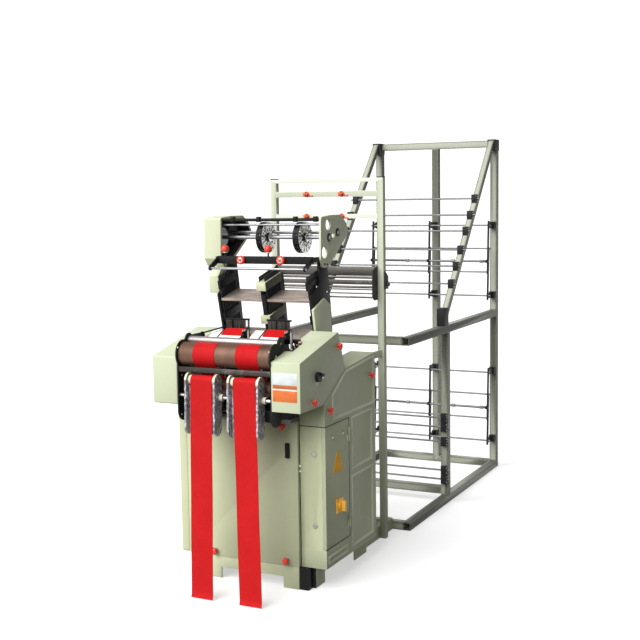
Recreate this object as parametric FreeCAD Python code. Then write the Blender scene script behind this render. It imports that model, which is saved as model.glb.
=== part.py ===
"""Two-head needle loom for narrow webbing, with its warp gantry and rear creel.

Millimetres, +Z up, +Y towards the creel, -Y towards the weaver. The machine is laid out from
its centre line (X = 0), the face of the front cover (Y = 0) and the floor (Z = 0); save() then
moves every piece so that the origin is the middle of the floor space that the loom takes up.
"""
import FreeCAD
import Part
import math
import os

V = FreeCAD.Vector

# ---- driving dimensions -------------------------------------------------------------------
RUN = 0.05              # radial clearance of a shaft in its bearing
GAP = 1.0               # gap between a turning piece and the plate beside it
SHEET = 3.0             # sheet-metal covers
WALL = 5.0              # cast columns and housings
PLATE = 10.0            # cut steel side plates

BODY_HALF = 358.0       # machine centre line to the outside of a column
COLUMN_W = 120.0        # width of a column
COLUMN_FRONT = 21.0     # front face of the right column
BODY_REAR = 560.0
PLINTH_TOP = 100.0
SKIRT_TOP = 181.0
CABINET_TOP = 716.0
CABINET_REAR = 255.0
BED_BOTTOM = 742.0
BED_T = 18.0
SHOULDER_Y = 230.0      # where the housing's slanted foot meets the column's top edge
SHOULDER_Z = 944.0
COLUMN_TOP = 972.0      # column height at its rear

HOUSING_FRONT = -205.0
HOUSING_BOTTOM = 818.0
HOUSING_NOSE = 1023.0   # top of the housing's front face
HOUSING_TOP = 1110.0
HOUSING_TOP_Y = 163.0
HOUSING_INNER = 227.0   # centre line to the inner face of a housing
LEFT_HOUSING_W = 124.0

PLINTH_HALF = 292.0
PLINTH_FRONT = 2.0
PLINTH_REAR = 594.0
FOOT_W = 136.0
ARCH_TOP = 50.0
BLOCK = 45.0            # black levelling blocks

TAKE_UP_R = 50.0
TAKE_UP_Y = -155.0
TAKE_UP_Z = 1032.0
JOURNAL_R = 12.0
PRESS_R = 17.0
PRESS_ANGLE = 50.0      # of the press roller round the take-up roller, from the rear
LOWER_R = 30.0
LOWER_Y = -125.0
LOWER_Z = 894.0
CHUTE_ROLL_R = 20.0
CHUTE_ROLL_Y = -205.0
CHUTE_ROLL_Z = 930.0
CHUTE_SHAFT_Y = -192.0
CHUTE_SHAFT_Z = 859.0
CHUTE_SHAFT_R = 7.0
END_PLATE_T = 6.0

TAPE_W = 106.0
TAPE_T = 2.0
TAPE_PITCH = 206.0
TAPE_OFFSET = 8.0       # the heads draw the webbing a little to the right
TAPE_CLEAR = 0.3        # a tape to the rollers that it runs over
TAPE_END_Z = 5.0
TAPE_END_Y = -272.0
TAPE_END_SHIFT = {"left": 5.0, "right": 34.0}
BREAST_FRONT_Y = -5.0
BREAST_FRONT_Z = 1078.0
BREAST_REAR_Y = 78.0
BREAST_REAR_Z = 1117.0
CHUTE_W = 148.0
CHUTE_BOTTOM = 700.0
CHUTE_DEPTH = 26.0

HEAD_PITCH = 234.0      # between the two heald packs
TILT = 14.0             # lean of the heald unit towards the weaver, degrees
FRAMES = 10             # heald frames in a head
FRAME_PITCH = 14.0
BAR_T = 11.0
BAR_H = 12.0
FRAME_W = HEAD_PITCH - 22.0     # leaves the middle plate and a gap on each side of it
BAR_GAP = 188.0         # top bar to bottom bar
STRUT_W = 5.0
STRUT_T = 8.0
STRUT_ABOVE = 104.0
STRUT_BELOW = 170.0
PACK_Y = 165.0          # front top corner of the pack
PACK_Z = 1241.0
SIDE_X = HEAD_PITCH + 2.0       # outside of the outer side plates
HEALD_LIFT = 20.0
COMB_T = 12.0

HEAD_INNER = 248.0      # inner face of the head plates
HEAD_BOX_W = 88.0
FEED_Y = 297.0
FEED_Z = 1510.0
FEED_R = 9.0
DRUM_R = 70.0
DRUM_W = 31.0
DRUM_X = (-58.0, 127.0)
COUNTER_Y = FEED_Y + DRUM_R + 18.0
COUNTER_Z = 1529.0
ARM_BAR_Z = 1414.0

POST = 31.0
GANTRY_X = 290.0
GANTRY_SHIFT = -9.0     # the gantry stands a little left of the machine's centre line
GANTRY_Y = 837.0
GANTRY_TOP = 1777.0
BEAMS = ((1768.0, 18.0), (1702.0, 28.0), (1593.0, 22.0))     # centre height, depth

TUBE = 41.0
TUBE_WALL = 3.0
CREEL_MID_X = -36.0
CREEL_HALF = 376.0
CREEL_FRONT = 989.0
CREEL_REAR = 2496.0
CREEL_TOP = 2016.0
CREEL_RAIL_Z = 966.0
CREEL_POST_Y = 1583.0
ROD_R = 5.0

# ---- the frame that everything is saved in ------------------------------------------------
SWITCH_PROUD = 34.0
ORIGIN = V(((CREEL_MID_X - CREEL_HALF - TUBE / 2) + (BODY_HALF + SWITCH_PROUD)) / 2,
           (TAPE_END_Y - TAPE_T + CREEL_REAR) / 2, 0.0)
LEFT, RIGHT = -1, 1


# ---- shapes -------------------------------------------------------------------------------
def box(x0, x1, y0, y1, z0, z1):
    """A block between two values on each axis, in either order."""
    return Part.makeBox(abs(x1 - x0), abs(y1 - y0), abs(z1 - z0),
                        V(min(x0, x1), min(y0, y1), min(z0, z1)))


def bar(radius, start, end):
    """A round bar from one point to another."""
    start, end = V(*start), V(*end)
    return Part.makeCylinder(radius, (end - start).Length, start, end - start)


def across(radius, x0, x1, y, z):
    """A round bar along X."""
    return bar(radius, (min(x0, x1), y, z), (max(x0, x1), y, z))


def profile(x0, x1, points):
    """A flat outline of (y, z) points, as thick as x0 to x1."""
    low = min(x0, x1)
    wire = Part.makePolygon([V(low, y, z) for y, z in points + [points[0]]])
    return Part.Face(wire).extrude(V(abs(x1 - x0), 0, 0))


def shrink(points, inset):
    """The (y, z) outline, moved inwards by the wall."""
    wire = Part.makePolygon([V(0, y, z) for y, z in points + [points[0]]])
    inner = wire.makeOffset2D(-inset, 2)
    return [(v.Point.y, v.Point.z) for v in inner.OrderedVertexes]


def casing(x0, x1, points, wall):
    """A hollow housing with end walls at x0 and x1."""
    low, high = min(x0, x1), max(x0, x1)
    hollow = profile(low + wall, high - wall, shrink(points, wall))
    return profile(low, high, points).cut(hollow)


def tube(start, end, size, wall):
    """A square section between two points, square to the X axis; solid if the wall fills it."""
    start, end = V(*start), V(*end)
    run = end - start
    section = Part.makeBox(size, size, run.Length, V(-size / 2, -size / 2, 0))
    bore = size - 2 * wall
    if bore > 0:
        section = section.cut(Part.makeBox(bore, bore, run.Length, V(-bore / 2, -bore / 2, 0)))
    section.Placement = FreeCAD.Placement(start, FreeCAD.Rotation(V(0, 0, 1), run))
    return section


def capsule(x0, x1, p, q, radius):
    """A plate with round ends, from (y, z) point p to point q."""
    run = V(0, q[0] - p[0], q[1] - p[1])
    side = run.cross(V(1, 0, 0)).normalize() * radius
    corners = [V(0, *p) + side, V(0, *q) + side, V(0, *q) - side, V(0, *p) - side]
    flat = profile(x0, x1, [(c.y, c.z) for c in corners])
    return flat.fuse([across(radius, x0, x1, *p), across(radius, x0, x1, *q)]).removeSplitter()


def tilted(along, up):
    """The (y, z) point that lies this far back and up from the heald pack's front corner."""
    lean = math.radians(TILT)
    return (PACK_Y + along * math.cos(lean) - up * math.sin(lean),
            PACK_Z + along * math.sin(lean) + up * math.cos(lean))


def tilted_box(x0, x1, a0, a1, u0, u1):
    """A block square to the leaning heald pack."""
    return profile(x0, x1, [tilted(a0, u0), tilted(a1, u0), tilted(a1, u1), tilted(a0, u1)])


def knob(tip, way, radius, length):
    """A thumb screw: a stem, then a round head with finger hollows."""
    way = V(*way)
    start = V(*tip)
    side = V(0, 0, 1) if abs(way.z) < 0.5 else V(0, 1, 0)
    head = Part.makeCylinder(radius, length * 0.6, start + way * length * 0.4, way)
    for turn in range(5):
        arm = FreeCAD.Rotation(way, 72.0 * turn).multVec(side) * radius * 1.22
        head = head.cut(Part.makeCylinder(radius * 0.38, length, start + way * length * 0.3 + arm, way))
    return head.fuse(Part.makeCylinder(radius * 0.45, length * 0.5, start, way)).removeSplitter()


def save(node, *solids):
    """Write one sub-part, in the saved frame."""
    group = []
    for solid in solids:
        group.extend(solid.Solids)
    shape = group[0] if len(group) == 1 else Part.makeCompound(group)
    shape = shape.copy()
    shape.translate(-ORIGIN)
    shape.exportStep(os.path.join("parts", node + ".step"))


# ---- plinth, columns and covers -----------------------------------------------------------
COLUMN_IN = BODY_HALF - COLUMN_W
SEAM = 2.5              # slit between housing and column
SLOPE = (SHOULDER_Z - HOUSING_BOTTOM - 1.0) / (SHOULDER_Y - 5.0)
MAIN_Y, MAIN_Z, MAIN_R = 300.0, 600.0, 15.0
POST_IN = {LEFT: GANTRY_SHIFT - GANTRY_X + POST / 2, RIGHT: GANTRY_SHIFT + GANTRY_X - POST / 2}
RAIL_W, RAIL_H = 30.0, 60.0
TOWER = [(SHOULDER_Y, SHOULDER_Z - SEAM), (BODY_REAR - 9, COLUMN_TOP), (BODY_REAR, COLUMN_TOP - 12)]


def seam_z(y):
    """Height of the column's slanted front shoulder."""
    return HOUSING_BOTTOM + 1.0 + (y - 5.0) * SLOPE - SEAM


def plinth():
    """Welded plinth, open underneath, with an arch in each side between its feet."""
    depth = PLINTH_REAR - PLINTH_FRONT
    skin = 8.0
    body = box(-PLINTH_HALF, PLINTH_HALF, PLINTH_FRONT, PLINTH_REAR, 0, PLINTH_TOP)
    body = body.cut(box(-PLINTH_HALF + skin, PLINTH_HALF - skin, PLINTH_FRONT + skin,
                        PLINTH_REAR - skin, -1, PLINTH_TOP - skin))
    arch_x = PLINTH_HALF - FOOT_W
    body = body.cut(box(-arch_x, arch_x, PLINTH_FRONT - 1, PLINTH_REAR + 1, -1, ARCH_TOP))
    body = body.cut(box(-PLINTH_HALF - 1, PLINTH_HALF + 1, PLINTH_FRONT + FOOT_W,
                        PLINTH_FRONT + depth - FOOT_W, -1, ARCH_TOP))
    for way in (LEFT, RIGHT):
        notch = box(way * (PLINTH_HALF - BLOCK - 15), way * (PLINTH_HALF + 1),
                    PLINTH_FRONT - 1, PLINTH_FRONT + BLOCK, -1, PLINTH_TOP + 1)
        body = body.cut(notch)
        inner = way * (PLINTH_HALF - BLOCK - 15)
        body = body.fuse(box(inner, inner - way * skin, PLINTH_FRONT, PLINTH_FRONT + BLOCK,
                             0, PLINTH_TOP))
        body = body.fuse(box(inner - way * skin, way * PLINTH_HALF, PLINTH_FRONT + BLOCK,
                             PLINTH_FRONT + BLOCK + skin, 0, PLINTH_TOP))
    return body.fuse([side_rail(LEFT), side_rail(RIGHT)]).removeSplitter()


def corner_block(way):
    """Solid black block that packs the plinth's front corner."""
    outer = way * (PLINTH_HALF - 15)
    return box(outer - way * BLOCK, outer, PLINTH_FRONT + 4, PLINTH_FRONT + BLOCK, 0, PLINTH_TOP)


def side_rail(way):
    """Floor rail, welded to the plinth, that ties it to the gantry post and to the creel."""
    x = POST_IN[way]
    outer = box(x - way * RAIL_W, x, PLINTH_REAR, CREEL_FRONT, 0, RAIL_H)
    wall = 3.0
    return outer.cut(box(x - way * (RAIL_W - wall), x - way * wall, PLINTH_REAR - 1,
                         CREEL_FRONT + 1, wall, RAIL_H - wall))


def panel(way, points):
    """A shallow pressed panel in a column's outer face."""
    return profile(way * (BODY_HALF - 2), way * (BODY_HALF + 1), points)


def column(way, outline):
    """Cast side column: closed, ribbed by its pressed panels, bored for the main shaft."""
    body = casing(way * COLUMN_IN, way * BODY_HALF, outline, WALL)
    rear = BODY_REAR - 25
    low_y = CABINET_REAR + 42
    upper = [(COLUMN_FRONT + 83, CABINET_TOP + 29), (COLUMN_FRONT + 83, seam_z(104) - 32),
             (SHOULDER_Y + 10, SHOULDER_Z - 22), (rear, COLUMN_TOP - 24), (rear, CABINET_TOP + 29)]
    middle = [(low_y + 4, 487), (low_y + 4, CABINET_TOP - 8), (BODY_REAR - 50, CABINET_TOP - 8),
              (BODY_REAR - 50, 487)]
    lower = [(low_y, PLINTH_TOP + 35), (low_y, 441), (BODY_REAR - 44, 441),
             (BODY_REAR - 44, PLINTH_TOP + 35)]
    for points in (upper, middle, lower):
        body = body.cut(panel(way, points))
    inner = way * COLUMN_IN
    return body.cut(across(MAIN_R + RUN, inner - way, inner + way * (WALL + 1), MAIN_Y, MAIN_Z))


def right_column():
    """The right column has a bay for the electrical cabinet, and a skirt below it."""
    outline = [(COLUMN_FRONT, CABINET_TOP), (COLUMN_FRONT, seam_z(COLUMN_FRONT))] + TOWER
    outline += [(BODY_REAR, PLINTH_TOP), (COLUMN_FRONT, PLINTH_TOP), (COLUMN_FRONT, SKIRT_TOP),
                (CABINET_REAR, SKIRT_TOP), (CABINET_REAR, CABINET_TOP)]
    strip = [(COLUMN_FRONT + 29, 126), (COLUMN_FRONT + 29, 141), (CABINET_REAR - 28, 141),
             (CABINET_REAR - 28, 126)]
    return column(RIGHT, outline).cut(panel(RIGHT, strip))


COVER_LEFT = -BODY_HALF + 40.0


def left_column():
    """The left column; its proud front edge frames the cover."""
    front = SHEET + 0.5
    outline = [(front, PLINTH_TOP), (front, seam_z(front))] + TOWER + [(BODY_REAR, PLINTH_TOP)]
    edge = box(-BODY_HALF, COVER_LEFT - 2, 0, front + WALL, PLINTH_TOP + 8, seam_z(0) - 4)
    return column(LEFT, outline).fuse(edge).removeSplitter()


COVER_TOP = BED_BOTTOM - 4.0
LATCH_X, LATCH_Z = COLUMN_IN - 46.0, 612.0


def front_cover():
    """Folded sheet cover: returned edges all round, clear of the columns."""
    right = COLUMN_IN - 2
    cover = box(COVER_LEFT, right, 0, SHEET, PLINTH_TOP + 2, COVER_TOP)
    fold = 18.0
    cover = cover.fuse([box(right - SHEET, right, 0, fold, PLINTH_TOP + 2, COVER_TOP),
                        box(-COLUMN_IN + 2, right, 0, fold, COVER_TOP - SHEET, COVER_TOP),
                        box(-COLUMN_IN + 2, right, 0, fold, PLINTH_TOP + 2, PLINTH_TOP + 2 + SHEET)])
    hole = bar(5 + RUN, (LATCH_X, -1, LATCH_Z), (LATCH_X, SHEET + 1, LATCH_Z))
    return cover.cut(hole).removeSplitter()


def cover_latch():
    """Turning latch of the front cover: a grip on a pin, and a tongue behind the sheet."""
    grip = box(LATCH_X - 8, LATCH_X + 8, -16, -GAP, LATCH_Z - 32, LATCH_Z + 32)
    pin = bar(5, (LATCH_X, -GAP - 2, LATCH_Z), (LATCH_X, SHEET + 6, LATCH_Z))
    tongue = box(LATCH_X - 8, LATCH_X + 38, SHEET + GAP, SHEET + GAP + 3, LATCH_Z - 8, LATCH_Z + 8)
    return grip.fuse([pin, tongue]).removeSplitter()


def rear_cover():
    """Louvred sheet between the columns at the back, for the motor's air."""
    sheet = box(-COLUMN_IN, COLUMN_IN, BODY_REAR - SHEET, BODY_REAR, PLINTH_TOP, BED_BOTTOM)
    for row in range(9):
        z = PLINTH_TOP + 110 + 26 * row
        for x in (-150, 20):
            sheet = sheet.cut(box(x, x + 130, BODY_REAR - SHEET - 1, BODY_REAR + 1, z, z + 8))
    return sheet


# ---- electrical cabinet in the right column -----------------------------------------------
FOLD = 16.0             # front return of the door
HINGE_X, HINGE_Y = BODY_HALF + 5.0, CABINET_REAR
LOCK_X = BODY_HALF - 53.0
LOCK_Z = {"upper": 598.0, "lower": 287.0}
LOCK_R = 8.0
DOOR_BOTTOM, DOOR_TOP = SKIRT_TOP + 6, CABINET_TOP - GAP
SWITCH_Y, SWITCH_Z = 149.0, 352.0


def cabinet_box():
    """Welded sheet box, open to the right, with its front bored for the two locks."""
    right = BODY_HALF - SHEET - GAP
    body = box(COLUMN_IN, right, COLUMN_FRONT, CABINET_REAR, SKIRT_TOP, CABINET_TOP)
    body = body.cut(box(COLUMN_IN + SHEET, right + 1, COLUMN_FRONT + SHEET,
                        CABINET_REAR - SHEET, SKIRT_TOP + SHEET, CABINET_TOP - SHEET))
    body = body.cut(box(BODY_HALF - FOLD - GAP, right + 1, COLUMN_FRONT - 1, COLUMN_FRONT + SHEET + 8,
                        DOOR_BOTTOM - 2, CABINET_TOP + 1))
    for z in LOCK_Z.values():
        body = body.cut(bar(LOCK_R + RUN, (LOCK_X, COLUMN_FRONT - 1, z),
                            (LOCK_X, COLUMN_FRONT + SHEET + 1, z)))
    return body


def cabinet_door():
    """Sheet door, returned round the front corner, with its half of the hinge."""
    rear = CABINET_REAR - GAP
    door = box(BODY_HALF - SHEET, BODY_HALF, COLUMN_FRONT, rear, DOOR_BOTTOM, DOOR_TOP)
    door = door.fuse(box(BODY_HALF - FOLD, BODY_HALF, COLUMN_FRONT, COLUMN_FRONT + SHEET,
                         DOOR_BOTTOM, DOOR_TOP))
    for low, high in hinge_spans(0):
        door = door.fuse(bar(5, (HINGE_X, HINGE_Y, low), (HINGE_X, HINGE_Y, high)))
        door = door.fuse(box(BODY_HALF, HINGE_X, HINGE_Y - 16, HINGE_Y - 2, low, high))
        door = door.cut(bar(2.5 + RUN, (HINGE_X, HINGE_Y, low - 1), (HINGE_X, HINGE_Y, high + 1)))
    return door.removeSplitter()


def hinge_spans(part):
    """Heights of the door's (0) or the column's (1) hinge knuckles."""
    for centre in (DOOR_BOTTOM + 70, DOOR_TOP - 70):
        low = centre - 30 if part == 0 else centre + GAP / 2
        yield low, low + 30 - GAP / 2


def door_hinges():
    """The column's half of each hinge, with the pin that both halves turn on."""
    halves = []
    for low, high in hinge_spans(1):
        half = bar(5, (HINGE_X, HINGE_Y, low), (HINGE_X, HINGE_Y, high))
        half = half.fuse(box(BODY_HALF, HINGE_X, HINGE_Y + 2, HINGE_Y + 16, low, high))
        pin = bar(2.5, (HINGE_X, HINGE_Y, low - 30), (HINGE_X, HINGE_Y, low + 1))
        halves.append(half.fuse(pin).removeSplitter())
    return halves


def door_lock(z):
    """Quarter-turn lock: slotted head, body through the sheet, tongue behind the door's fold."""
    y = COLUMN_FRONT
    head = bar(11, (LOCK_X, y - 4, z), (LOCK_X, y, z))
    head = head.cut(box(LOCK_X - 7, LOCK_X + 7, y - 5, y - 2, z - 1.2, z + 1.2))
    body = bar(LOCK_R, (LOCK_X, y - 1, z), (LOCK_X, y + SHEET + 6, z))
    tongue = box(LOCK_X - 8, BODY_HALF - FOLD + 6, y + SHEET + GAP, y + SHEET + GAP + 3, z - 7, z + 7)
    return head.fuse([body, tongue]).removeSplitter()


def switch_plate():
    plate = box(BODY_HALF, BODY_HALF + 8, SWITCH_Y - 31, SWITCH_Y + 31, SWITCH_Z - 31, SWITCH_Z + 31)
    return plate.cut(across(6 + RUN, BODY_HALF - 1, BODY_HALF + 9, SWITCH_Y, SWITCH_Z))


def switch_handle():
    """Rotary handle of the main switch, with its spindle."""
    face = BODY_HALF + 8 + GAP / 2
    dial = across(24, face, face + 9, SWITCH_Y, SWITCH_Z)
    grip = box(face, BODY_HALF + SWITCH_PROUD, SWITCH_Y - 7, SWITCH_Y + 7, SWITCH_Z - 23, SWITCH_Z + 23)
    spindle = across(6, BODY_HALF + 1, face + 1, SWITCH_Y, SWITCH_Z)
    return dial.fuse([grip, spindle]).removeSplitter()


# ---- front housings -----------------------------------------------------------------------
HOUSING = [(HOUSING_FRONT, HOUSING_BOTTOM), (HOUSING_FRONT, HOUSING_NOSE),
           (HOUSING_TOP_Y, HOUSING_TOP), (SHOULDER_Y, SHOULDER_Z), (5.0, HOUSING_BOTTOM + 1)]
POCKET_W, POCKET_Y0, POCKET_Y1, POCKET_Z = 36.0, -80.0, 66.0, 990.0


def left_housing():
    return casing(-HOUSING_INNER - LEFT_HOUSING_W, -HOUSING_INNER, HOUSING, WALL)


def right_housing():
    """Like the left one, wider, with an open pocket where the right needle swings."""
    outer = profile(HOUSING_INNER, BODY_HALF + 1, HOUSING)
    hollow = profile(HOUSING_INNER + WALL, BODY_HALF + 1 - WALL, shrink(HOUSING, WALL))
    pocket = box(HOUSING_INNER - 1, HOUSING_INNER + POCKET_W, POCKET_Y0, POCKET_Y1, POCKET_Z, 1200)
    lining = box(HOUSING_INNER, HOUSING_INNER + POCKET_W + WALL, POCKET_Y0 - WALL, POCKET_Y1 + WALL,
                 POCKET_Z - WALL, 1200)
    body = outer.cut(pocket).cut(hollow.cut(lining))
    return body.cut(across(6 + RUN, BODY_HALF - WALL - 1, BODY_HALF + 2, CRANK_Y, CRANK_Z))


def hand_knobs():
    """Red thumb screws that hold the housings and covers."""
    side = BODY_HALF + 1
    spots = [((side, 150, 1050), (1, 0, 0)), ((side, -99, 846), (1, 0, 0)),
             ((BODY_HALF, 54, 786), (1, 0, 0)), ((BODY_HALF - 2, 503, 872), (1, 0, 0)),
             ((170, 0, 716), (0, -1, 0)), ((176, 0, 125), (0, -1, 0)), ((-183, 0, 125), (0, -1, 0)),
             ((-HOUSING_INNER - LEFT_HOUSING_W, 150, 1050), (-1, 0, 0)),
             ((-HOUSING_INNER - LEFT_HOUSING_W, -99, 846), (-1, 0, 0)),
             ((-BODY_HALF, 54, 786), (-1, 0, 0)), ((2 - BODY_HALF, 503, 872), (-1, 0, 0))]
    return [knob(tip, way, 15.0, 24.0) for tip, way in spots]


CRANK_Y, CRANK_Z = -48.0, 946.0


def side_crank():
    """Black knob with a winding handle, for letting the webbing on by hand."""
    face = BODY_HALF + 1 + GAP
    disc = across(21, face, face + 14, CRANK_Y, CRANK_Z)
    disc = disc.fuse(across(7, face, face + 26, CRANK_Y + 11, CRANK_Z + 8))
    return disc.fuse(across(6, BODY_HALF - WALL, face + 1, CRANK_Y, CRANK_Z)).removeSplitter()


# ---- take-up, chutes and webbing ----------------------------------------------------------
TAPE_X = {"left": TAPE_OFFSET - TAPE_PITCH / 2, "right": TAPE_OFFSET + TAPE_PITCH / 2}
PRESS_REACH = TAKE_UP_R + PRESS_R + TAPE_T + 2 * TAPE_CLEAR
PRESS_Y = TAKE_UP_Y + PRESS_REACH * math.cos(math.radians(PRESS_ANGLE))
PRESS_Z = TAKE_UP_Z + PRESS_REACH * math.sin(math.radians(PRESS_ANGLE))
END_IN = HOUSING_INNER - END_PLATE_T


def end_plate(way):
    """Black bearing plate bolted to a housing: it carries the rollers and the chute shaft."""
    low, high = sorted((way * END_IN, way * HOUSING_INNER))
    plate = capsule(low, high, (TAKE_UP_Y, TAKE_UP_Z), (TAKE_UP_Y - 5, 790.0), 46.0)
    plate = plate.fuse(across(60, low, high, TAKE_UP_Y, TAKE_UP_Z))
    plate = plate.fuse(capsule(low, high, (TAKE_UP_Y, TAKE_UP_Z), (PRESS_Y, PRESS_Z + 4), 26.0))
    if way == LEFT:
        plate = plate.fuse(capsule(low, high, (PRESS_Y, PRESS_Z + 2), (0.0, PRESS_Z + 2), 18.0))
    for y, z, radius in ((TAKE_UP_Y, TAKE_UP_Z, JOURNAL_R), (PRESS_Y, PRESS_Z, 6.0),
                         (LOWER_Y, LOWER_Z, 8.0), (CHUTE_SHAFT_Y, CHUTE_SHAFT_Z, CHUTE_SHAFT_R)):
        plate = plate.cut(across(radius + RUN, low - 1, high + 1, y, z))
    return plate.removeSplitter()


def roller(radius, journal, y, z):
    """A roller across the machine, its journals just short of the housings."""
    body = across(radius, -END_IN + GAP, END_IN - GAP, y, z)
    return body.fuse(across(journal, -HOUSING_INNER + GAP, HOUSING_INNER - GAP, y, z)).removeSplitter()


def polar(y, z, radius, angle):
    """The (y, z) point on a circle, by its angle from the rear."""
    turn = math.radians(angle)
    return (y + radius * math.cos(turn), z + radius * math.sin(turn))


def crossing(first, second, side):
    """Angle on the first circle where the webbing leaves it to cross to the second's far side."""
    dy, dz = second[0] - first[0], second[1] - first[1]
    lead = math.degrees(math.acos((first[2] + second[2]) / math.hypot(dy, dz)))
    return math.degrees(math.atan2(dz, dy)) + side * lead


def wrap(circle, start, end, x0, x1):
    """The webbing's bend round a roller, between two angles."""
    y, z, mid = circle
    outer, inner = mid + TAPE_T / 2, mid - TAPE_T / 2
    ends = []
    for radius in (inner, outer):
        marks = [V(x0, *polar(y, z, radius, a)) for a in (start, (start + end) / 2, end)]
        ends.append((Part.Arc(*marks).toShape(), marks))
    edges = [ends[0][0], Part.makeLine(ends[0][1][2], ends[1][1][2]), ends[1][0],
             Part.makeLine(ends[1][1][0], ends[0][1][0])]
    return Part.Face(Part.Wire(Part.__sortEdges__(edges))).extrude(V(x1 - x0, 0, 0))


def run(p, q, x0, x1):
    """A straight stretch of webbing between two (y, z) points on its middle line."""
    along = V(0, q[0] - p[0], q[1] - p[1]).normalize()
    off = V(0, -along.z, along.y) * TAPE_T / 2
    corners = [V(0, *p) + off, V(0, *q) + off, V(0, *q) - off, V(0, *p) - off]
    return profile(x0, x1, [(c.y, c.z) for c in corners])


def tape(side):
    """One woven web: over its breast plate, round the rollers, down its chute to the floor."""
    x0, x1 = TAPE_X[side] - TAPE_W / 2, TAPE_X[side] + TAPE_W / 2
    mid = TAPE_CLEAR + TAPE_T / 2
    big = (TAKE_UP_Y, TAKE_UP_Z, TAKE_UP_R + mid)
    low = (LOWER_Y, LOWER_Z, LOWER_R + mid)
    top = (CHUTE_ROLL_Y, CHUTE_ROLL_Z, CHUTE_ROLL_R + mid)
    leave = crossing(big, low, -1)
    turn = crossing(low, top, 1)
    rise = math.atan2(BREAST_REAR_Z - BREAST_FRONT_Z, BREAST_REAR_Y - BREAST_FRONT_Y)
    lift_y, lift_z = -math.sin(rise) * (mid + 0.2), math.cos(rise) * (mid + 0.2)
    rear = (BREAST_REAR_Y + lift_y, BREAST_REAR_Z + lift_z)
    front = (BREAST_FRONT_Y + lift_y, BREAST_FRONT_Z + lift_z)
    press = (PRESS_Y, PRESS_Z, PRESS_R + mid)
    enter = crossing(press, (*front, 0.0), -1)
    parts = [run(rear, front, x0, x1), run(front, polar(*press, enter), x0, x1),
             wrap(press, enter, PRESS_ANGLE - 180, x0, x1),
             wrap(big, PRESS_ANGLE, leave + 360, x0, x1),
             run(polar(*big, leave), polar(*low, leave + 180), x0, x1),
             wrap(low, leave + 180, turn - 360, x0, x1),
             run(polar(*low, turn), polar(*top, turn - 180), x0, x1),
             wrap(top, turn - 180, 180, x0, x1)]
    drop_y = CHUTE_ROLL_Y - top[2]
    ends = []
    for y, z, shift in ((drop_y, CHUTE_ROLL_Z, 0.0), (TAPE_END_Y, TAPE_END_Z, TAPE_END_SHIFT[side])):
        ring = [V(x0 + shift, y - TAPE_T / 2, z), V(x1 + shift, y - TAPE_T / 2, z),
                V(x1 + shift, y + TAPE_T / 2, z), V(x0 + shift, y + TAPE_T / 2, z)]
        ends.append(Part.makePolygon(ring + [ring[0]]))
    fall = Part.makeLoft(ends, True, True)
    return fall.fuse(parts).removeSplitter()


def chute(side):
    """Clear channel that the web falls in: a back sheet between two rails with round ends."""
    x = TAPE_X[side] - 3
    half, rail = CHUTE_W / 2, 9.0
    foot = (CHUTE_ROLL_Y - 8, CHUTE_BOTTOM + 28)
    back = CHUTE_SHAFT_Y - CHUTE_SHAFT_R - 9
    body = box(x - half + 1, x + half - 1, back - 4, back, CHUTE_BOTTOM + 4, CHUTE_ROLL_Z - CHUTE_ROLL_R - 6)
    for way in (LEFT, RIGHT):
        low, high = sorted((x + way * half, x + way * (half - rail)))
        body = body.fuse(capsule(low, high, (CHUTE_ROLL_Y - 1, CHUTE_ROLL_Z), foot, 29.0))
    for y, z, radius in ((CHUTE_ROLL_Y, CHUTE_ROLL_Z, 5.0), (CHUTE_SHAFT_Y, CHUTE_SHAFT_Z, CHUTE_SHAFT_R)):
        body = body.cut(across(radius + RUN, x - half - 1, x + half + 1, y, z))
    return body.removeSplitter()


def chute_roller(side):
    x = TAPE_X[side] - 3
    half = CHUTE_W / 2
    body = across(CHUTE_ROLL_R, x - half + 9 + GAP, x + half - 9 - GAP, CHUTE_ROLL_Y, CHUTE_ROLL_Z)
    return body.fuse(across(5, x - half, x + half, CHUTE_ROLL_Y, CHUTE_ROLL_Z)).removeSplitter()


def chute_collars():
    """Set collars that fix the chutes along their shaft."""
    rings = []
    for side in TAPE_X:
        for way in (LEFT, RIGHT):
            face = TAPE_X[side] - 3 + way * CHUTE_W / 2
            ring = across(15, face, face + way * 16, CHUTE_SHAFT_Y, CHUTE_SHAFT_Z)
            rings.append(ring.cut(across(CHUTE_SHAFT_R, face - 20, face + 20, CHUTE_SHAFT_Y, CHUTE_SHAFT_Z)))
    return rings


def guide_bar():
    return box(-END_IN, END_IN, -201, -190, CHUTE_ROLL_Z + 30, TAKE_UP_Z - TAKE_UP_R)


def stay_rods():
    """Two thin stays and a clamp block low down between the end plates."""
    low_z = 800.0
    y = TAKE_UP_Y - 5
    return [across(6, -END_IN, END_IN, y, low_z), across(4, -END_IN, END_IN, y, low_z - 26)]


def clamp_block():
    """Black block on the right-hand end of the stays."""
    y = TAKE_UP_Y - 5
    block = box(END_IN - 42, END_IN - GAP, y - 16, y + 16, 766, 812)
    return block.cut(across(6, 0, 300, y, 800)).cut(across(4, 0, 300, y, 774))


BREAST_HALF = 55.0


def breast_plate(side):
    """Pale sloping plate that the web slides over, on a post from the bed."""
    x = TAPE_X[side]
    thick = 4.0
    top = [(BREAST_FRONT_Y, BREAST_FRONT_Z), (BREAST_REAR_Y, BREAST_REAR_Z),
           (BREAST_REAR_Y, BREAST_REAR_Z - thick), (BREAST_FRONT_Y, BREAST_FRONT_Z - thick)]
    return profile(x - BREAST_HALF, x + BREAST_HALF, top)


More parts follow.
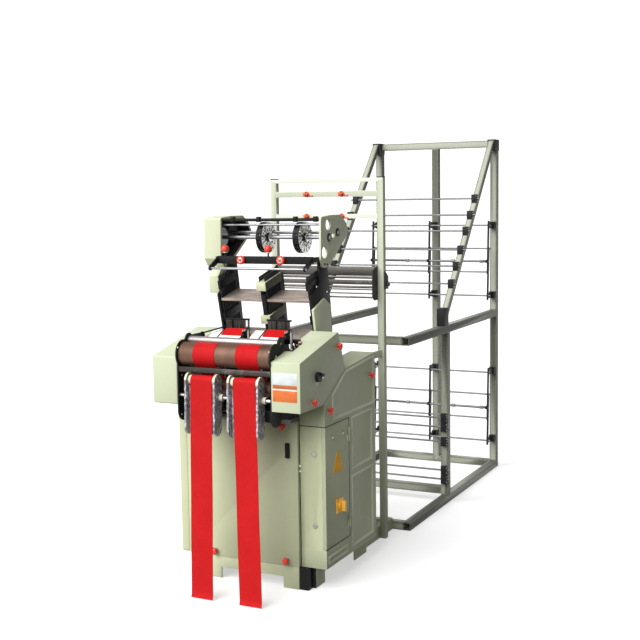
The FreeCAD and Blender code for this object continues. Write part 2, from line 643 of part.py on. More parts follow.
def breast_post(side):
    """Black pillar under the breast plate, cut to its slope."""
    x = TAPE_X[side]
    rise = (BREAST_REAR_Z - BREAST_FRONT_Z) / (BREAST_REAR_Y - BREAST_FRONT_Y)
    y0, y1 = 24.0, 58.0
    under = [BREAST_FRONT_Z - 4 + (y - BREAST_FRONT_Y) * rise for y in (y0, y1)]
    bed = BED_BOTTOM + BED_T
    return profile(x - 50, x - 20, [(y0, bed), (y0, under[0]), (y1, under[1]), (y1, bed)])


# ---- sley, reeds and weft needles ---------------------------------------------------------
BED_TOP = BED_BOTTOM + BED_T
SLEY_Y, SLEY_Z = 130.0, 800.0
REED_Y = 87.0
NEEDLE_Y, NEEDLE_R = -35.0, 120.0
NEEDLE_TAIL, NEEDLE_TIP = 86.5, 28.5        # degrees from the rear, towards the right
SPOKE_Z, NEEDLE_Z = 1004.0, 1124.0
SPINDLE_R = 9.0


def sley():
    """Rocking frame that beats up the weft: shaft, two arms and the beam for the reeds."""
    beam = box(-214, 214, REED_Y - 6, REED_Y + 26, 1058, 1078)
    shaft = across(10, -190, 190, SLEY_Y, SLEY_Z)
    arms = [profile(x - 7, x + 7, [(SLEY_Y - 14, SLEY_Z), (REED_Y + 2, 1060), (REED_Y + 22, 1060),
                                   (SLEY_Y + 14, SLEY_Z)]) for x in (-178, 178)]
    return beam.fuse([shaft] + arms).removeSplitter()


def sley_bearing(x):
    block = box(x - 11, x + 11, SLEY_Y - 20, SLEY_Y + 20, BED_TOP, SLEY_Z + 20)
    return block.cut(across(10 + RUN, x - 12, x + 12, SLEY_Y, SLEY_Z))


def reed(side):
    """Reed: two bars with flat dents between them, as wide as the web."""
    x, half, top = TAPE_X[side], 60.0, 1162.0
    body = box(x - half, x + half, REED_Y, REED_Y + 8, 1078, 1086)
    body = body.fuse(box(x - half, x + half, REED_Y, REED_Y + 8, top - 7, top))
    dents = 36
    step = (2 * half - 4) / (dents - 1)
    strips = [box(x - half + 1.6 + step * i, x - half + 2.4 + step * i, REED_Y + 1, REED_Y + 7, 1085, top - 6)
              for i in range(dents)]
    return body.fuse(strips)


def needle_spindle(side):
    """Upright spindle from the bed, with the spoke that carries the weft needle."""
    x = TAPE_X[side]
    post = bar(SPINDLE_R, (x, NEEDLE_Y, BED_BOTTOM + 2), (x, NEEDLE_Y, SPOKE_Z + 6))
    spoke = box(x - 7, x + 7, NEEDLE_Y, NEEDLE_Y + NEEDLE_R + 4, SPOKE_Z - 4, SPOKE_Z + 4)
    riser = box(x - 4, x + 4, NEEDLE_Y + NEEDLE_R - 4, NEEDLE_Y + NEEDLE_R + 4, SPOKE_Z, NEEDLE_Z)
    arm = spoke.fuse([riser, bar(16, (x, NEEDLE_Y, SPOKE_Z - 8), (x, NEEDLE_Y, SPOKE_Z + 8))])
    arm.rotate(V(x, NEEDLE_Y, 0), V(0, 0, 1), -NEEDLE_TAIL)
    return post.fuse(arm).removeSplitter()


def needle(side):
    """Sickle-shaped weft needle on the riser, with its tip just outside the web."""
    x = TAPE_X[side]
    outer = Part.makeCylinder(NEEDLE_R + 3, 5, V(x, NEEDLE_Y, NEEDLE_Z))
    ring = outer.cut(Part.makeCylinder(NEEDLE_R - 3, 5, V(x, NEEDLE_Y, NEEDLE_Z)))
    reach = NEEDLE_R * 2
    marks = [V(x, NEEDLE_Y, NEEDLE_Z)]
    for angle in (NEEDLE_TAIL + 2, (NEEDLE_TAIL + NEEDLE_TIP) / 2, NEEDLE_TIP):
        turn = math.radians(angle)
        marks.append(V(x + reach * math.sin(turn), NEEDLE_Y + reach * math.cos(turn), NEEDLE_Z))
    wedge = Part.Face(Part.makePolygon(marks + [marks[0]])).extrude(V(0, 0, 5))
    return ring.common(wedge)


def spindle_bearing(side):
    x = TAPE_X[side]
    flange = bar(24, (x, NEEDLE_Y, BED_TOP), (x, NEEDLE_Y, BED_TOP + 8))
    body = flange.fuse(bar(17, (x, NEEDLE_Y, BED_TOP), (x, NEEDLE_Y, BED_TOP + 60)))
    bore = bar(SPINDLE_R + RUN, (x, NEEDLE_Y, BED_TOP - 1), (x, NEEDLE_Y, BED_TOP + 61))
    return body.cut(bore).removeSplitter()


BED_FRONT = SHEET + 1 - 70.0


def bed():
    """Machined bed between the columns, bored for the needle spindles."""
    plate = box(-COLUMN_IN, COLUMN_IN, BED_FRONT, BODY_REAR, BED_BOTTOM, BED_TOP)
    for side in TAPE_X:
        x = TAPE_X[side]
        plate = plate.cut(bar(SPINDLE_R + RUN, (x, NEEDLE_Y, 0), (x, NEEDLE_Y, 900)))
    half = PULLEY_W / 2 + 6
    slot_y = (CAM_Y - CAM_PULLEY_R - 20, CAM_Y + CAM_PULLEY_R + 20)
    return plate.cut(box(CAM_PULLEY_X - half, CAM_PULLEY_X + half, *slot_y, 0, 900))


# ---- drive inside the body ----------------------------------------------------------------
MOTOR_Y, MOTOR_Z, MOTOR_R, MOTOR_SHAFT_R = 430.0, 260.0, 75.0, 12.0
MOTOR_X0, MOTOR_X1 = -160.0, 50.0
DRIVE_X, DRIVE_R, MOTOR_PULLEY_R = 96.0, 110.0, 45.0
PULLEY_W = 30.0


def pulley(x, radius, bore, y, z):
    """Flanged belt pulley, centred on x."""
    half = PULLEY_W / 2
    wheel = across(radius, x - half, x + half, y, z)
    for low in (x - half, x + half - 3):
        wheel = wheel.fuse(across(radius + 5, low, low + 3, y, z))
    return wheel.cut(across(bore, x - half - 1, x + half + 1, y, z)).removeSplitter()


def belt(x, first, second):
    """Flat belt round two pulleys, each (y, z, radius), a little clear of both."""
    loops = []
    for extra in (TAPE_CLEAR, TAPE_CLEAR + BELT_T):
        (y0, z0, r0), (y1, z1, r1) = first, second
        r0, r1 = r0 + extra, r1 + extra
        away = math.degrees(math.atan2(z1 - z0, y1 - y0))
        lean = math.degrees(math.acos((r0 - r1) / math.hypot(y1 - y0, z1 - z0)))
        marks = [polar(y0, z0, r0, away + lean), polar(y1, z1, r1, away + lean),
                 polar(y1, z1, r1, away - lean), polar(y0, z0, r0, away - lean)]
        low, high = x - BELT_W / 2, x + BELT_W / 2
        loops.append(profile(low, high, marks).fuse([across(r0, low, high, y0, z0),
                                                     across(r1, low, high, y1, z1)]).removeSplitter())
    return loops[1].cut(loops[0])


def motor():
    """Foot-mounted motor on a plate across the plinth."""
    body = across(MOTOR_R, MOTOR_X0, MOTOR_X1, MOTOR_Y, MOTOR_Z)
    foot = box(MOTOR_X0 + 30, MOTOR_X1 - 30, MOTOR_Y - 70, MOTOR_Y + 70, PLINTH_TOP, PLINTH_TOP + 14)
    web = box(MOTOR_X0 + 40, MOTOR_X1 - 40, MOTOR_Y - 45, MOTOR_Y + 45, PLINTH_TOP + 14, MOTOR_Z)
    body = body.fuse([foot, web])
    bore = across(MOTOR_SHAFT_R + RUN, MOTOR_X1 - 40, MOTOR_X1 + 1, MOTOR_Y, MOTOR_Z)
    return body.cut(bore).removeSplitter()


def motor_rotor():
    """Motor shaft with its pulley: separate solids."""
    shaft = across(MOTOR_SHAFT_R, MOTOR_X1 - 38, DRIVE_X + PULLEY_W / 2 + 4, MOTOR_Y, MOTOR_Z)
    return [shaft, pulley(DRIVE_X, MOTOR_PULLEY_R, MOTOR_SHAFT_R, MOTOR_Y, MOTOR_Z)]


def main_shaft():
    """Main shaft across the body, with the driven pulley and the cam drive's pulley."""
    reach = COLUMN_IN + WALL + 4
    return [across(MAIN_R, -reach, reach, MAIN_Y, MAIN_Z), pulley(DRIVE_X, DRIVE_R, MAIN_R, MAIN_Y, MAIN_Z),
            pulley(CAM_PULLEY_X, CAM_PULLEY_R, MAIN_R, MAIN_Y, MAIN_Z)]


# ---- heald unit ---------------------------------------------------------------------------
HEAD_X = {"left": -HEAD_PITCH / 2, "right": HEAD_PITCH / 2}
PACK_DEPTH = FRAME_PITCH * (FRAMES - 1) + BAR_T
CENTRE_T = 20.0
SIDE = [(236, BED_TOP), (236, 950), (206, 1045), (152, 1260), (243, 1312), (237, 1404), (318, 1404),
        (341, 1280), (365, 1124), (365, BED_TOP)]
COMB_LOW, COMB_TOP = -110.0, 44.0
COMB_H = 38.0


def side_plates():
    """Three black plates that carry the heald unit; the middle one stops above the combs."""
    centre_top = SIDE[:5] + [(240, 1352), (328, 1352)] + SIDE[7:]
    plates = {"left_side_plate": profile(-SIDE_X, -SIDE_X + PLATE, SIDE),
              "centre_side_plate": profile(-CENTRE_T / 2, CENTRE_T / 2, centre_top),
              "right_side_plate": profile(SIDE_X - PLATE, SIDE_X, SIDE)}
    for name, plate in plates.items():
        plates[name] = plate.cut(across(CAM_SHAFT_R + RUN, -SIDE_X - 1, SIDE_X + 1, CAM_Y, CAM_Z))
    return plates


def frame_struts(side):
    """X ranges of the two end struts of a heald frame, and which way the comb opens."""
    x = HEAD_X[side]
    yield x - FRAME_W / 2, x - FRAME_W / 2 + STRUT_W
    yield x + FRAME_W / 2 - STRUT_W, x + FRAME_W / 2


def heald_frame(side, index):
    """One heald frame: top and bottom bars between two guide struts."""
    x, a = HEAD_X[side], index * FRAME_PITCH
    half = FRAME_W / 2
    middle = (BAR_T - STRUT_T) / 2
    bars = [tilted_box(x - half, x + half, a, a + BAR_T, -BAR_H, 0),
            tilted_box(x - half, x + half, a, a + BAR_T, -BAR_GAP - BAR_H, -BAR_GAP)]
    struts = [tilted_box(x0, x1, a + middle, a + middle + STRUT_T,
                         -BAR_GAP - BAR_H - STRUT_BELOW, STRUT_ABOVE) for x0, x1 in frame_struts(side)]
    return bars[0].fuse([bars[1]] + struts).removeSplitter()


def slotted(block, side):
    """The block, slotted for every frame of one head."""
    for index in range(FRAMES):
        a = index * FRAME_PITCH + (BAR_T - STRUT_T) / 2
        for x0, x1 in frame_struts(side):
            block = block.cut(tilted_box(x0 - 0.3, x1 + 0.3, a - 0.3, a + STRUT_T + 0.3,
                                         COMB_LOW - 5, COMB_TOP + COMB_H + 5))
    return block


def centre_combs():
    """Two pale guide blocks on the middle plate, slotted for the frames of both heads."""
    half = CENTRE_T / 2 + 14
    plate = side_plates()["centre_side_plate"]
    combs = []
    for low in (COMB_LOW, COMB_TOP):
        block = tilted_box(-half, half, -17, PACK_DEPTH + 6, low, low + COMB_H).cut(plate)
        for side in HEAD_X:
            block = slotted(block, side)
        combs.append(block)
    return combs


def outer_combs():
    """Black guide bars inside the outer side plates."""
    inner = SIDE_X - PLATE
    combs = []
    for side, way in (("left", LEFT), ("right", RIGHT)):
        for low in (COMB_LOW, COMB_TOP):
            block = tilted_box(way * inner, way * (inner - COMB_T), -4, PACK_DEPTH + 6, low, low + COMB_H)
            combs.append(slotted(block, side))
    return combs


CASE_TOP, CASE_Y0, CASE_Y1, CASE_WALL = 900.0, 226.0, 392.0, 6.0
CAM_Y, CAM_Z, CAM_SHAFT_R, CAM_R = 309.0, 835.0, 12.0, 36.0
BELT_W, BELT_T = 22.0, 5.0
CAM_PULLEY_X, CAM_PULLEY_R = -112.0, 40.0


def case_span(side):
    """X range of the cam case under one head, clear of the frames' struts."""
    low, high = CENTRE_T / 2 + 12, SIDE_X - PLATE - 12
    return (-high, -low) if side == "left" else (low, high)


def cam_case(side):
    """Cast cam case on the bed, open underneath and bored for the cam shaft."""
    x0, x1 = case_span(side)
    body = box(x0, x1, CASE_Y0, CASE_Y1, BED_TOP, CASE_TOP)
    body = body.cut(box(x0 + CASE_WALL, x1 - CASE_WALL, CASE_Y0 + CASE_WALL, CASE_Y1 - CASE_WALL,
                        BED_TOP - 1, CASE_TOP - CASE_WALL))
    return body.cut(across(CAM_SHAFT_R + RUN, x0 - 1, x1 + 1, CAM_Y, CAM_Z))


def cam_shaft():
    """Cam shaft with a row of heald cams in each case and its belt pulley: separate solids."""
    pieces = [across(CAM_SHAFT_R, 1 - SIDE_X, SIDE_X - 1, CAM_Y, CAM_Z)]
    for side in HEAD_X:
        x0, x1 = case_span(side)
        step = (x1 - x0 - 40) / FRAMES
        for index in range(FRAMES):
            x = x0 + 20 + step * index
            if abs(x + step / 2 - CAM_PULLEY_X) < BELT_W:
                continue
            lobe = 9 if index % 2 else -9
            cam = across(CAM_R - 9, x, x + 8, CAM_Y, CAM_Z + lobe)
            pieces.append(cam.cut(across(CAM_SHAFT_R, x - 1, x + 9, CAM_Y, CAM_Z)))
    pieces.append(pulley(CAM_PULLEY_X, CAM_PULLEY_R, CAM_SHAFT_R, CAM_Y, CAM_Z))
    return pieces


def right_bracket():
    """Light five-sided plate outside the right side plate."""
    return profile(SIDE_X, SIDE_X + 11, [(238, 960), (174, 1116), (156, 1202), (268, 1244),
                                           (328, 1208), (352, 960)])


def left_bracket():
    """Light bracket that carries the head's drive case."""
    outline = [(172, 1262), (166, 1340), (192, 1368), (240, 1378.9), (292, 1379.9), (300, 1300), (212, 1262)]
    return profile(-SIDE_X - 50, -SIDE_X, outline)


# ---- feeder head --------------------------------------------------------------------------
HEAD_TOP = FEED_Z + DRUM_R + 28.0
HEAD = [(218, HEAD_TOP - 7), (212, 1415), (240, 1379), (292, 1380), (COUNTER_Y + 35, 1467),
        (COUNTER_Y + 123, 1527), (COUNTER_Y + 92, 1573), (COUNTER_Y + 39, HEAD_TOP), (319, HEAD_TOP)]
HEAD_HOLES = ((290, 1566, 24), (251, 1446, 26), (341, 1521, 15))
TIE_Y, TIE_Z = 232.0, HEAD_TOP - 18


COUNTER_R = 8.0


def head_right_plate():
    plate = profile(HEAD_INNER, HEAD_INNER + PLATE, HEAD)
    plate = plate.makeFillet(12, [e for e in plate.Edges if abs(e.Length - PLATE) < 0.01])
    bores = HEAD_HOLES + ((FEED_Y, FEED_Z, FEED_R + RUN), (COUNTER_Y, COUNTER_Z, COUNTER_R + RUN))
    for y, z, radius in bores:
        plate = plate.cut(across(radius, HEAD_INNER - 1, HEAD_INNER + PLATE + 1, y, z))
    return plate


def head_left_case():
    """Cast drive case, open towards the drums."""
    wall = 8.0
    case = profile(-HEAD_INNER - HEAD_BOX_W, -HEAD_INNER, HEAD)
    case = case.makeFillet(12, [e for e in case.Edges if abs(e.Length - HEAD_BOX_W) < 0.01])
    hollow = profile(-HEAD_INNER - HEAD_BOX_W + wall, -HEAD_INNER + 1, shrink(HEAD, wall + 6))
    case = case.cut(hollow)
    x = -HEAD_INNER - HEAD_BOX_W + wall
    for y, z, radius in ((FEED_Y, FEED_Z, FEED_R), (COUNTER_Y, COUNTER_Z, COUNTER_R)):
        case = case.fuse(across(radius + 10, x, x + 20, y, z))
        case = case.cut(across(radius + RUN, x + 1, x + 21, y, z))
    return case.removeSplitter()


def head_brackets():
    """Packing blocks between the head and the heald side plates."""
    return [box(way * SIDE_X, way * HEAD_INNER, 246, 300, 1383, 1402) for way in (LEFT, RIGHT)]


GEAR_TEETH = 30
GEAR_R = math.hypot(COUNTER_Y - FEED_Y, COUNTER_Z - FEED_Z) / 2
GEAR_LINE = math.degrees(math.atan2(COUNTER_Z - FEED_Z, COUNTER_Y - FEED_Y))
GEAR_X = (-HEAD_INNER - 46.0, -HEAD_INNER - 34.0)


def feeder_shaft():
    """Feeder shaft with its gear: separate solids."""
    shaft = across(FEED_R, -HEAD_INNER - HEAD_BOX_W + 10, HEAD_INNER + PLATE + 3, FEED_Y, FEED_Z)
    return [shaft, gear(*GEAR_X, FEED_Y, FEED_Z, GEAR_LINE, FEED_R)]


def counter_shaft():
    """Second shaft with the gear that drives the feeder shaft: separate solids."""
    shaft = across(COUNTER_R, -HEAD_INNER - HEAD_BOX_W + 10, HEAD_INNER + PLATE + 3, COUNTER_Y, COUNTER_Z)
    half_tooth = 180.0 / GEAR_TEETH
    return [shaft, gear(*GEAR_X, COUNTER_Y, COUNTER_Z, GEAR_LINE + 180 + half_tooth, COUNTER_R)]


def gear(x0, x1, y, z, phase, bore):
    """Spur wheel with straight-flanked teeth, one of them at the phase angle."""
    radius, step = GEAR_R, 360.0 / GEAR_TEETH
    wheel = across(radius - 2.2, x0, x1, y, z)
    for tooth in range(GEAR_TEETH):
        marks = [polar(y, z, r, phase + tooth * step + a) for r, a in
                 ((radius - 3, -step * 0.23), (radius + 1.6, -step * 0.10), (radius + 1.6, step * 0.10),
                  (radius - 3, step * 0.23))]
        wheel = wheel.fuse(profile(x0, x1, marks))
    return wheel.cut(across(bore, x0 - 1, x1 + 1, y, z)).removeSplitter()


def feeder_drum(x):
    """Perforated weft-feed wheel: rim, two faces with holes, and a hub."""
    low, high = x - DRUM_W / 2, x + DRUM_W / 2
    drum = across(DRUM_R, low, high, FEED_Y, FEED_Z)
    drum = drum.cut(across(DRUM_R - 4, low + 3, high - 3, FEED_Y, FEED_Z))
    drum = drum.fuse(across(20, low - 8, high + 8, FEED_Y, FEED_Z))
    for count, radius, size in ((14, DRUM_R - 13, 8.0), (9, DRUM_R - 34, 7.0)):
        for i in range(count):
            y, z = polar(FEED_Y, FEED_Z, radius, 360.0 / count * i)
            drum = drum.cut(across(size, low - 1, high + 1, y, z))
    for i in range(14):
        y, z = polar(FEED_Y, FEED_Z, DRUM_R + 3, 360.0 / 14 * (i + 0.5))
        ry, rz = polar(FEED_Y, FEED_Z, DRUM_R - 6, 360.0 / 14 * (i + 0.5))
        drum = drum.cut(bar(5.5, (x, ry, rz), (x, y, z)))
    return drum.cut(across(FEED_R, low - 9, high + 9, FEED_Y, FEED_Z))


def tie_rods():
    """Rods that tie the drive case to the right head plate."""
    reach = HEAD_INNER
    end = -HEAD_INNER - HEAD_BOX_W + 8
    stay = tilted((FRAMES - 2) * FRAME_PITCH + BAR_T, STRUT_ABOVE + HEALD_LIFT)[1] + GAP
    return [across(7, -reach, reach, TIE_Y, TIE_Z), across(5, end, reach, TIE_Y + 10, TIE_Z - 22),
            box(-SIDE_X + PLATE, SIDE_X - PLATE, 246, 254, stay, stay + 11)]


def rod_fittings():
    """Small guides on the top tie rod."""
    clips = []
    for x in (-190, -58, 127, 226):
        clip = box(x - 7, x + 7, TIE_Y - 12, TIE_Y + 12, TIE_Z - 10, TIE_Z + 14)
        clips.append(clip.cut(across(7, x - 8, x + 8, TIE_Y, TIE_Z)))
    return clips


ARM_Y, ARM_HALF = 172.0, 240.0
BALL_X = (-200.0, 20.0)


def tension_bar():
    """Black flat bar across the head, its two arms reaching down towards the weaver."""
    body = box(-ARM_HALF, ARM_HALF, ARM_Y - 5, ARM_Y + 5, ARM_BAR_Z - 17, ARM_BAR_Z + 17)
    for way in (LEFT, RIGHT):
        low, high = sorted((way * (ARM_HALF - 8), way * ARM_HALF))
        arm = capsule(low, high, (ARM_Y, ARM_BAR_Z + 4), (ARM_Y - 72, ARM_BAR_Z - 34), 11.0)
        ear = box(way * (ARM_HALF - 8), way * HEAD_INNER, ARM_Y - 5, 244, ARM_BAR_Z - 8, ARM_BAR_Z + 14)
        body = body.fuse([arm, ear])
    for x in BALL_X:
        body = body.fuse(bar(4, (x, ARM_Y, ARM_BAR_Z + 16), (x, ARM_Y, ARM_BAR_Z + 34)))
    body = body.cut(across(6, -400, 400, ARM_Y - 72, ARM_BAR_Z - 34))
    return body.removeSplitter()


def thread_rod():
    return across(6, -ARM_HALF - 2, ARM_HALF + 2, ARM_Y - 72, ARM_BAR_Z - 34)


RED_X = (-112.0, 88.0)


def red_tensioners():
    """Red disc tensioners on the black bar, one for each head, with a second one behind."""
    front = ARM_Y - 5
    discs = []
    for x in RED_X:
        disc = bar(20, (x, front - 16, ARM_BAR_Z), (x, front, ARM_BAR_Z))
        discs.append(disc.fuse(bar(7, (x, front - 24, ARM_BAR_Z), (x, front, ARM_BAR_Z))).removeSplitter())
    return discs


def ball_guides():
    """Red ceramic ball guides on the black bar's stalks."""
    balls = []
    for x in BALL_X:
        ball = Part.makeSphere(18, V(x, ARM_Y, ARM_BAR_Z + 48))
        balls.append(ball.cut(box(x - 20, x + 20, ARM_Y - 20, ARM_Y + 20, 1300, ARM_BAR_Z + 34)))
    return balls


# ---- gantry and warp guides ---------------------------------------------------------------
def gantry():
    """Two square posts and three beams, welded, with a rear bracket to each column top."""
    posts, wall = [], 2.5
    for way in (LEFT, RIGHT):
        x = GANTRY_SHIFT + way * GANTRY_X
        posts.append(tube((x, GANTRY_Y, 0), (x, GANTRY_Y, GANTRY_TOP), POST, wall))
    body = posts[0]
    beams = [box(POST_IN[LEFT], POST_IN[RIGHT], GANTRY_Y - POST / 2, GANTRY_Y - POST / 2 + 22,
                 z - depth / 2, z + depth / 2) for z, depth in BEAMS]
    for way in (LEFT, RIGHT):
        x = GANTRY_SHIFT + way * GANTRY_X
        beams.append(box(x - 4, x + 4, BODY_REAR, GANTRY_Y - POST / 2, COLUMN_TOP - 60, COLUMN_TOP - 26))
    return body.fuse([posts[1]] + beams).removeSplitter()


def post_caps():
    """Black plugs in the tops of the gantry posts."""
    caps = []
    for way in (LEFT, RIGHT):
        x = GANTRY_SHIFT + way * GANTRY_X
        cap = box(x - 16, x + 16, GANTRY_Y - 16, GANTRY_Y + 16, GANTRY_TOP, GANTRY_TOP + 5)
        caps.append(cap.fuse(box(x - 12, x + 12, GANTRY_Y - 12, GANTRY_Y + 12, GANTRY_TOP - 12, GANTRY_TOP)))
    return [cap.removeSplitter() for cap in caps]


def gantry_tensioners():
    """Orange disc tensioners for the weft yarns, on the two lower gantry beams."""
    face = GANTRY_Y - POST / 2
    units = []
    for z, _ in BEAMS[1:]:
        for x in (-112.0, 78.0):
            stem = bar(5, (x, face - 30, z), (x, face, z))
            button = bar(11, (x, face - 30, z), (x, face - 24, z))
            tail = box(x + 12, x + 34, face - 6, face, z - 12, z - 4)
            units.append(bar(15, (x, face - 14, z), (x, face, z)).fuse([stem, button, tail]).removeSplitter())
    return units


GUIDE_Y = 826.0
GUIDE_RODS = ((1298.0, 6.0), (1252.0, 6.0), (1240.0, 3.5), (1221.0, 3.5), (1202.0, 4.5))


def guide_plates():
    """Black end plates of the warp guide, bolted inside the gantry posts."""
    outline = [(GUIDE_Y - 62, 1205), (GUIDE_Y - 62, 1330), (GUIDE_Y - 20, 1352), (GUIDE_Y + 26, 1352),
               (GUIDE_Y + 26, 1222), (GUIDE_Y + 4, 1188), (GUIDE_Y - 40, 1188)]
    plates = []
    for way in (LEFT, RIGHT):
        low, high = sorted((POST_IN[way], POST_IN[way] - way * 6))
        plates.append(profile(low, high, outline))
    return plates


def guide_sheet():
    """Wide dark sheet that the warp slides over."""
    low, high = POST_IN[LEFT] + 6, POST_IN[RIGHT] - 6
    return box(low, high, GUIDE_Y - 20, GUIDE_Y - 17, 1304, 1350)


def guide_rods():
    low, high = POST_IN[LEFT] + 6, POST_IN[RIGHT] - 6
    return [across(radius, low, high, GUIDE_Y - 44, z) for z, radius in GUIDE_RODS]


def guide_bar_rear():
    low, high = POST_IN[LEFT] + 6, POST_IN[RIGHT] - 6
    return box(low, high, GUIDE_Y - 50, GUIDE_Y - 38, 1264, 1286)


def post_bracket():
    """Adjusting bracket outside the right gantry post, with its clamp screw."""
    x = GANTRY_SHIFT + GANTRY_X + POST / 2
    plate = profile(x, x + 7, [(GANTRY_Y - 12, 1240), (GANTRY_Y - 12, 1330), (GANTRY_Y + 30, 1300),
                               (GANTRY_Y + 30, 1240)])
    screw = across(9, x + 7, x + 20, GANTRY_Y + 10, 1262)
    return plate.fuse(screw).removeSplitter()


# ---- creel --------------------------------------------------------------------------------
CREEL_X = {LEFT: CREEL_MID_X - CREEL_HALF, 0: CREEL_MID_X, RIGHT: CREEL_MID_X + CREEL_HALF}
BACK_Y = CREEL_REAR - TUBE / 2
FRONT_Y = CREEL_FRONT + TUBE / 2
FOOT_Z = TUBE / 2
CROSS_Z = 67.0
BRACE_FOOT_Y = 1540.0
BRACE = ((BACK_Y - 58, CREEL_TOP - 14), (BRACE_FOOT_Y, CREEL_RAIL_Z + TUBE / 2 + 24))
BRACE_RODS = (1668.0, 1575.0, 1486.0, 1383.0, 1296.0, 1204.0)
LOW_RODS = (476.0, 425.0, 344.0, 184.0, 133.0)


def creel(wall=TUBE_WALL):
    """Square-tube creel stand: posts, rails, cross rails and two long braces, all welded."""
    members = []
    for x in CREEL_X.values():
        members.append(tube((x, BACK_Y, 0), (x, BACK_Y, CREEL_TOP - TUBE), TUBE, wall))
    members.append(tube((CREEL_X[LEFT] - TUBE / 2, BACK_Y, CREEL_TOP - TUBE / 2),
                        (CREEL_X[RIGHT] + TUBE / 2, BACK_Y, CREEL_TOP - TUBE / 2), TUBE, wall))
    for way in (LEFT, RIGHT):
        x = CREEL_X[way]
        for z in (FOOT_Z, CREEL_RAIL_Z):
            members.append(tube((x, CREEL_FRONT, z), (x, BACK_Y - TUBE / 2, z), TUBE, wall))
        members.append(tube((x, CREEL_POST_Y, TUBE), (x, CREEL_POST_Y, CREEL_RAIL_Z - TUBE / 2),
                            TUBE, wall))
        members.append(tube((x, *BRACE[1]), (x, *BRACE[0]), TUBE * 0.8, wall))
        members.append(box(x - 18, x + 18, BRACE_FOOT_Y - 20, BRACE_FOOT_Y + 20,
                           CREEL_RAIL_Z + TUBE / 2, CREEL_RAIL_Z + TUBE / 2 + 30))
    inner = (CREEL_X[LEFT] + TUBE / 2, CREEL_X[RIGHT] - TUBE / 2)
    for y, z in ((FRONT_Y, FOOT_Z), (FRONT_Y, CREEL_RAIL_Z), (CREEL_POST_Y, CROSS_Z)):
        members.append(tube((inner[0], y, z), (inner[1], y, z), TUBE, wall))
    for way in (LEFT, RIGHT):
        members.append(tube((CREEL_X[0] + way * TUBE / 2, BACK_Y, FOOT_Z),
                            (CREEL_X[way] - way * TUBE / 2, BACK_Y, FOOT_Z), TUBE, wall))
    return members[0].fuse(members[1:]).removeSplitter()


def creel_corners():
    """Black sockets at the tops of the corner posts and where the braces meet the rails."""
    pieces = []
    for way in (LEFT, RIGHT):
        x = CREEL_X[way]
        top = box(x - 24, x + 24, BACK_Y - 66, BACK_Y + 20, CREEL_TOP - 62, CREEL_TOP + 4)
        pieces.append(top)
        pieces.append(box(x - 22, x + 22, BRACE_FOOT_Y - 34, BRACE_FOOT_Y + 34,
                          CREEL_RAIL_Z + TUBE / 2, CREEL_RAIL_Z + TUBE / 2 + 95))
    envelope = creel(TUBE)
    return [piece.cut(envelope) for piece in pieces]


def brace_point(z):
    """Where a rod at this height crosses in front of the brace."""
    (y1, z1), (y0, z0) = BRACE
    return y0 + (y1 - y0) * (z - z0) / (z1 - z0)


CLAMP = 22.0
ROD_OUT = TUBE * 0.4 + 12.0


def rod_spots():
    """Y and Z of every fixed rod that runs from side to side of the creel."""
    for z in BRACE_RODS:
        yield brace_point(z) - ROD_OUT - 8, z
    for z in LOW_RODS:
        yield CREEL_POST_Y - TUBE / 2 - 10, z


def creel_rods():
    reach = CREEL_HALF + 30
    return [across(ROD_R, CREEL_MID_X - reach, CREEL_MID_X + reach, y, z) for y, z in rod_spots()]


def rod_clamps():
    """Black clamps that hold the rods to the braces and posts."""
    pieces = []
    envelope = creel(TUBE)
    for y, z in rod_spots():
        rear = CREEL_POST_Y - TUBE / 2 if z < CREEL_RAIL_Z else y + CLAMP
        for way in (LEFT, RIGHT):
            x = CREEL_X[way]
            block = box(x - 15, x + 15, y - CLAMP / 2, rear, z - 24, z + 24)
            pieces.append(block.cut(across(ROD_R, x - 16, x + 16, y, z)).cut(envelope))
    return pieces


# ---- spool arms on the back posts ---------------------------------------------------------
ARM_LEVELS = (1506.0, 612.0)
ARM_BARS = (((2347, 20), (2329, -286)), ((2379, -141), (2357, -446)))
ARM_RODS = ((2346, 0, ROD_R), (2379, -141, ROD_R), (2333, -216, 7.0), (2330, -280, ROD_R),
            (2358, -426, ROD_R))


def spool_arms():
    """Flat black arms, clamped in pairs to the back posts, that the spool rods pass through."""
    pieces = []
    front = BACK_Y - TUBE / 2
    for level in ARM_LEVELS:
        for x in CREEL_X.values():
            arms = []
            for (top, bottom), low in zip(ARM_BARS, (x, x - 9)):
                ends = ((top[0], level + top[1]), (bottom[0], level + bottom[1]))
                arms.append(capsule(low, low + 8, *ends, 8.0))
            upper, lower = arms
            upper = upper.fuse(box(x, x + 8, ARM_RODS[0][0], front, level - 14, level + 14))
            upper = upper.fuse(box(x - 16, x + 16, front - 34, front, level - 20, level + 20))
            lower = lower.fuse(box(x - 9, x - 1, ARM_RODS[4][0], front, level - 440, level - 412))
            lower = lower.fuse(box(x - 16, x + 16, front - 34, front, level - 446, level - 406))
            link = box(x - 9, x - 1, ARM_RODS[2][0] - 9, 2374, level - 225, level - 207)
            for piece in (upper, lower.fuse(link)):
                for y, drop, radius in ARM_RODS:
                    piece = piece.cut(across(radius, x - 20, x + 20, y, level + drop))
                pieces.append(piece.removeSplitter())
    return pieces


def spool_rods():
    """Rods through the spool arms, the middle one with small nuts along it."""
    rods = []
    reach = CREEL_HALF + 12
    for level in ARM_LEVELS:
        for y, drop, radius in ARM_RODS:
            rod = across(radius, CREEL_MID_X - reach, CREEL_MID_X + reach, y, level + drop)
            if radius > ROD_R:
                for x in (-150, 150, 330):
                    nut = across(radius + 3, CREEL_MID_X + x, CREEL_MID_X + x + 22, y, level + drop)
                    rod = rod.fuse(nut)
            rods.append(rod.removeSplitter())
    return rods


# ---- sub-parts ----------------------------------------------------------------------------
os.makedirs("parts", exist_ok=True)

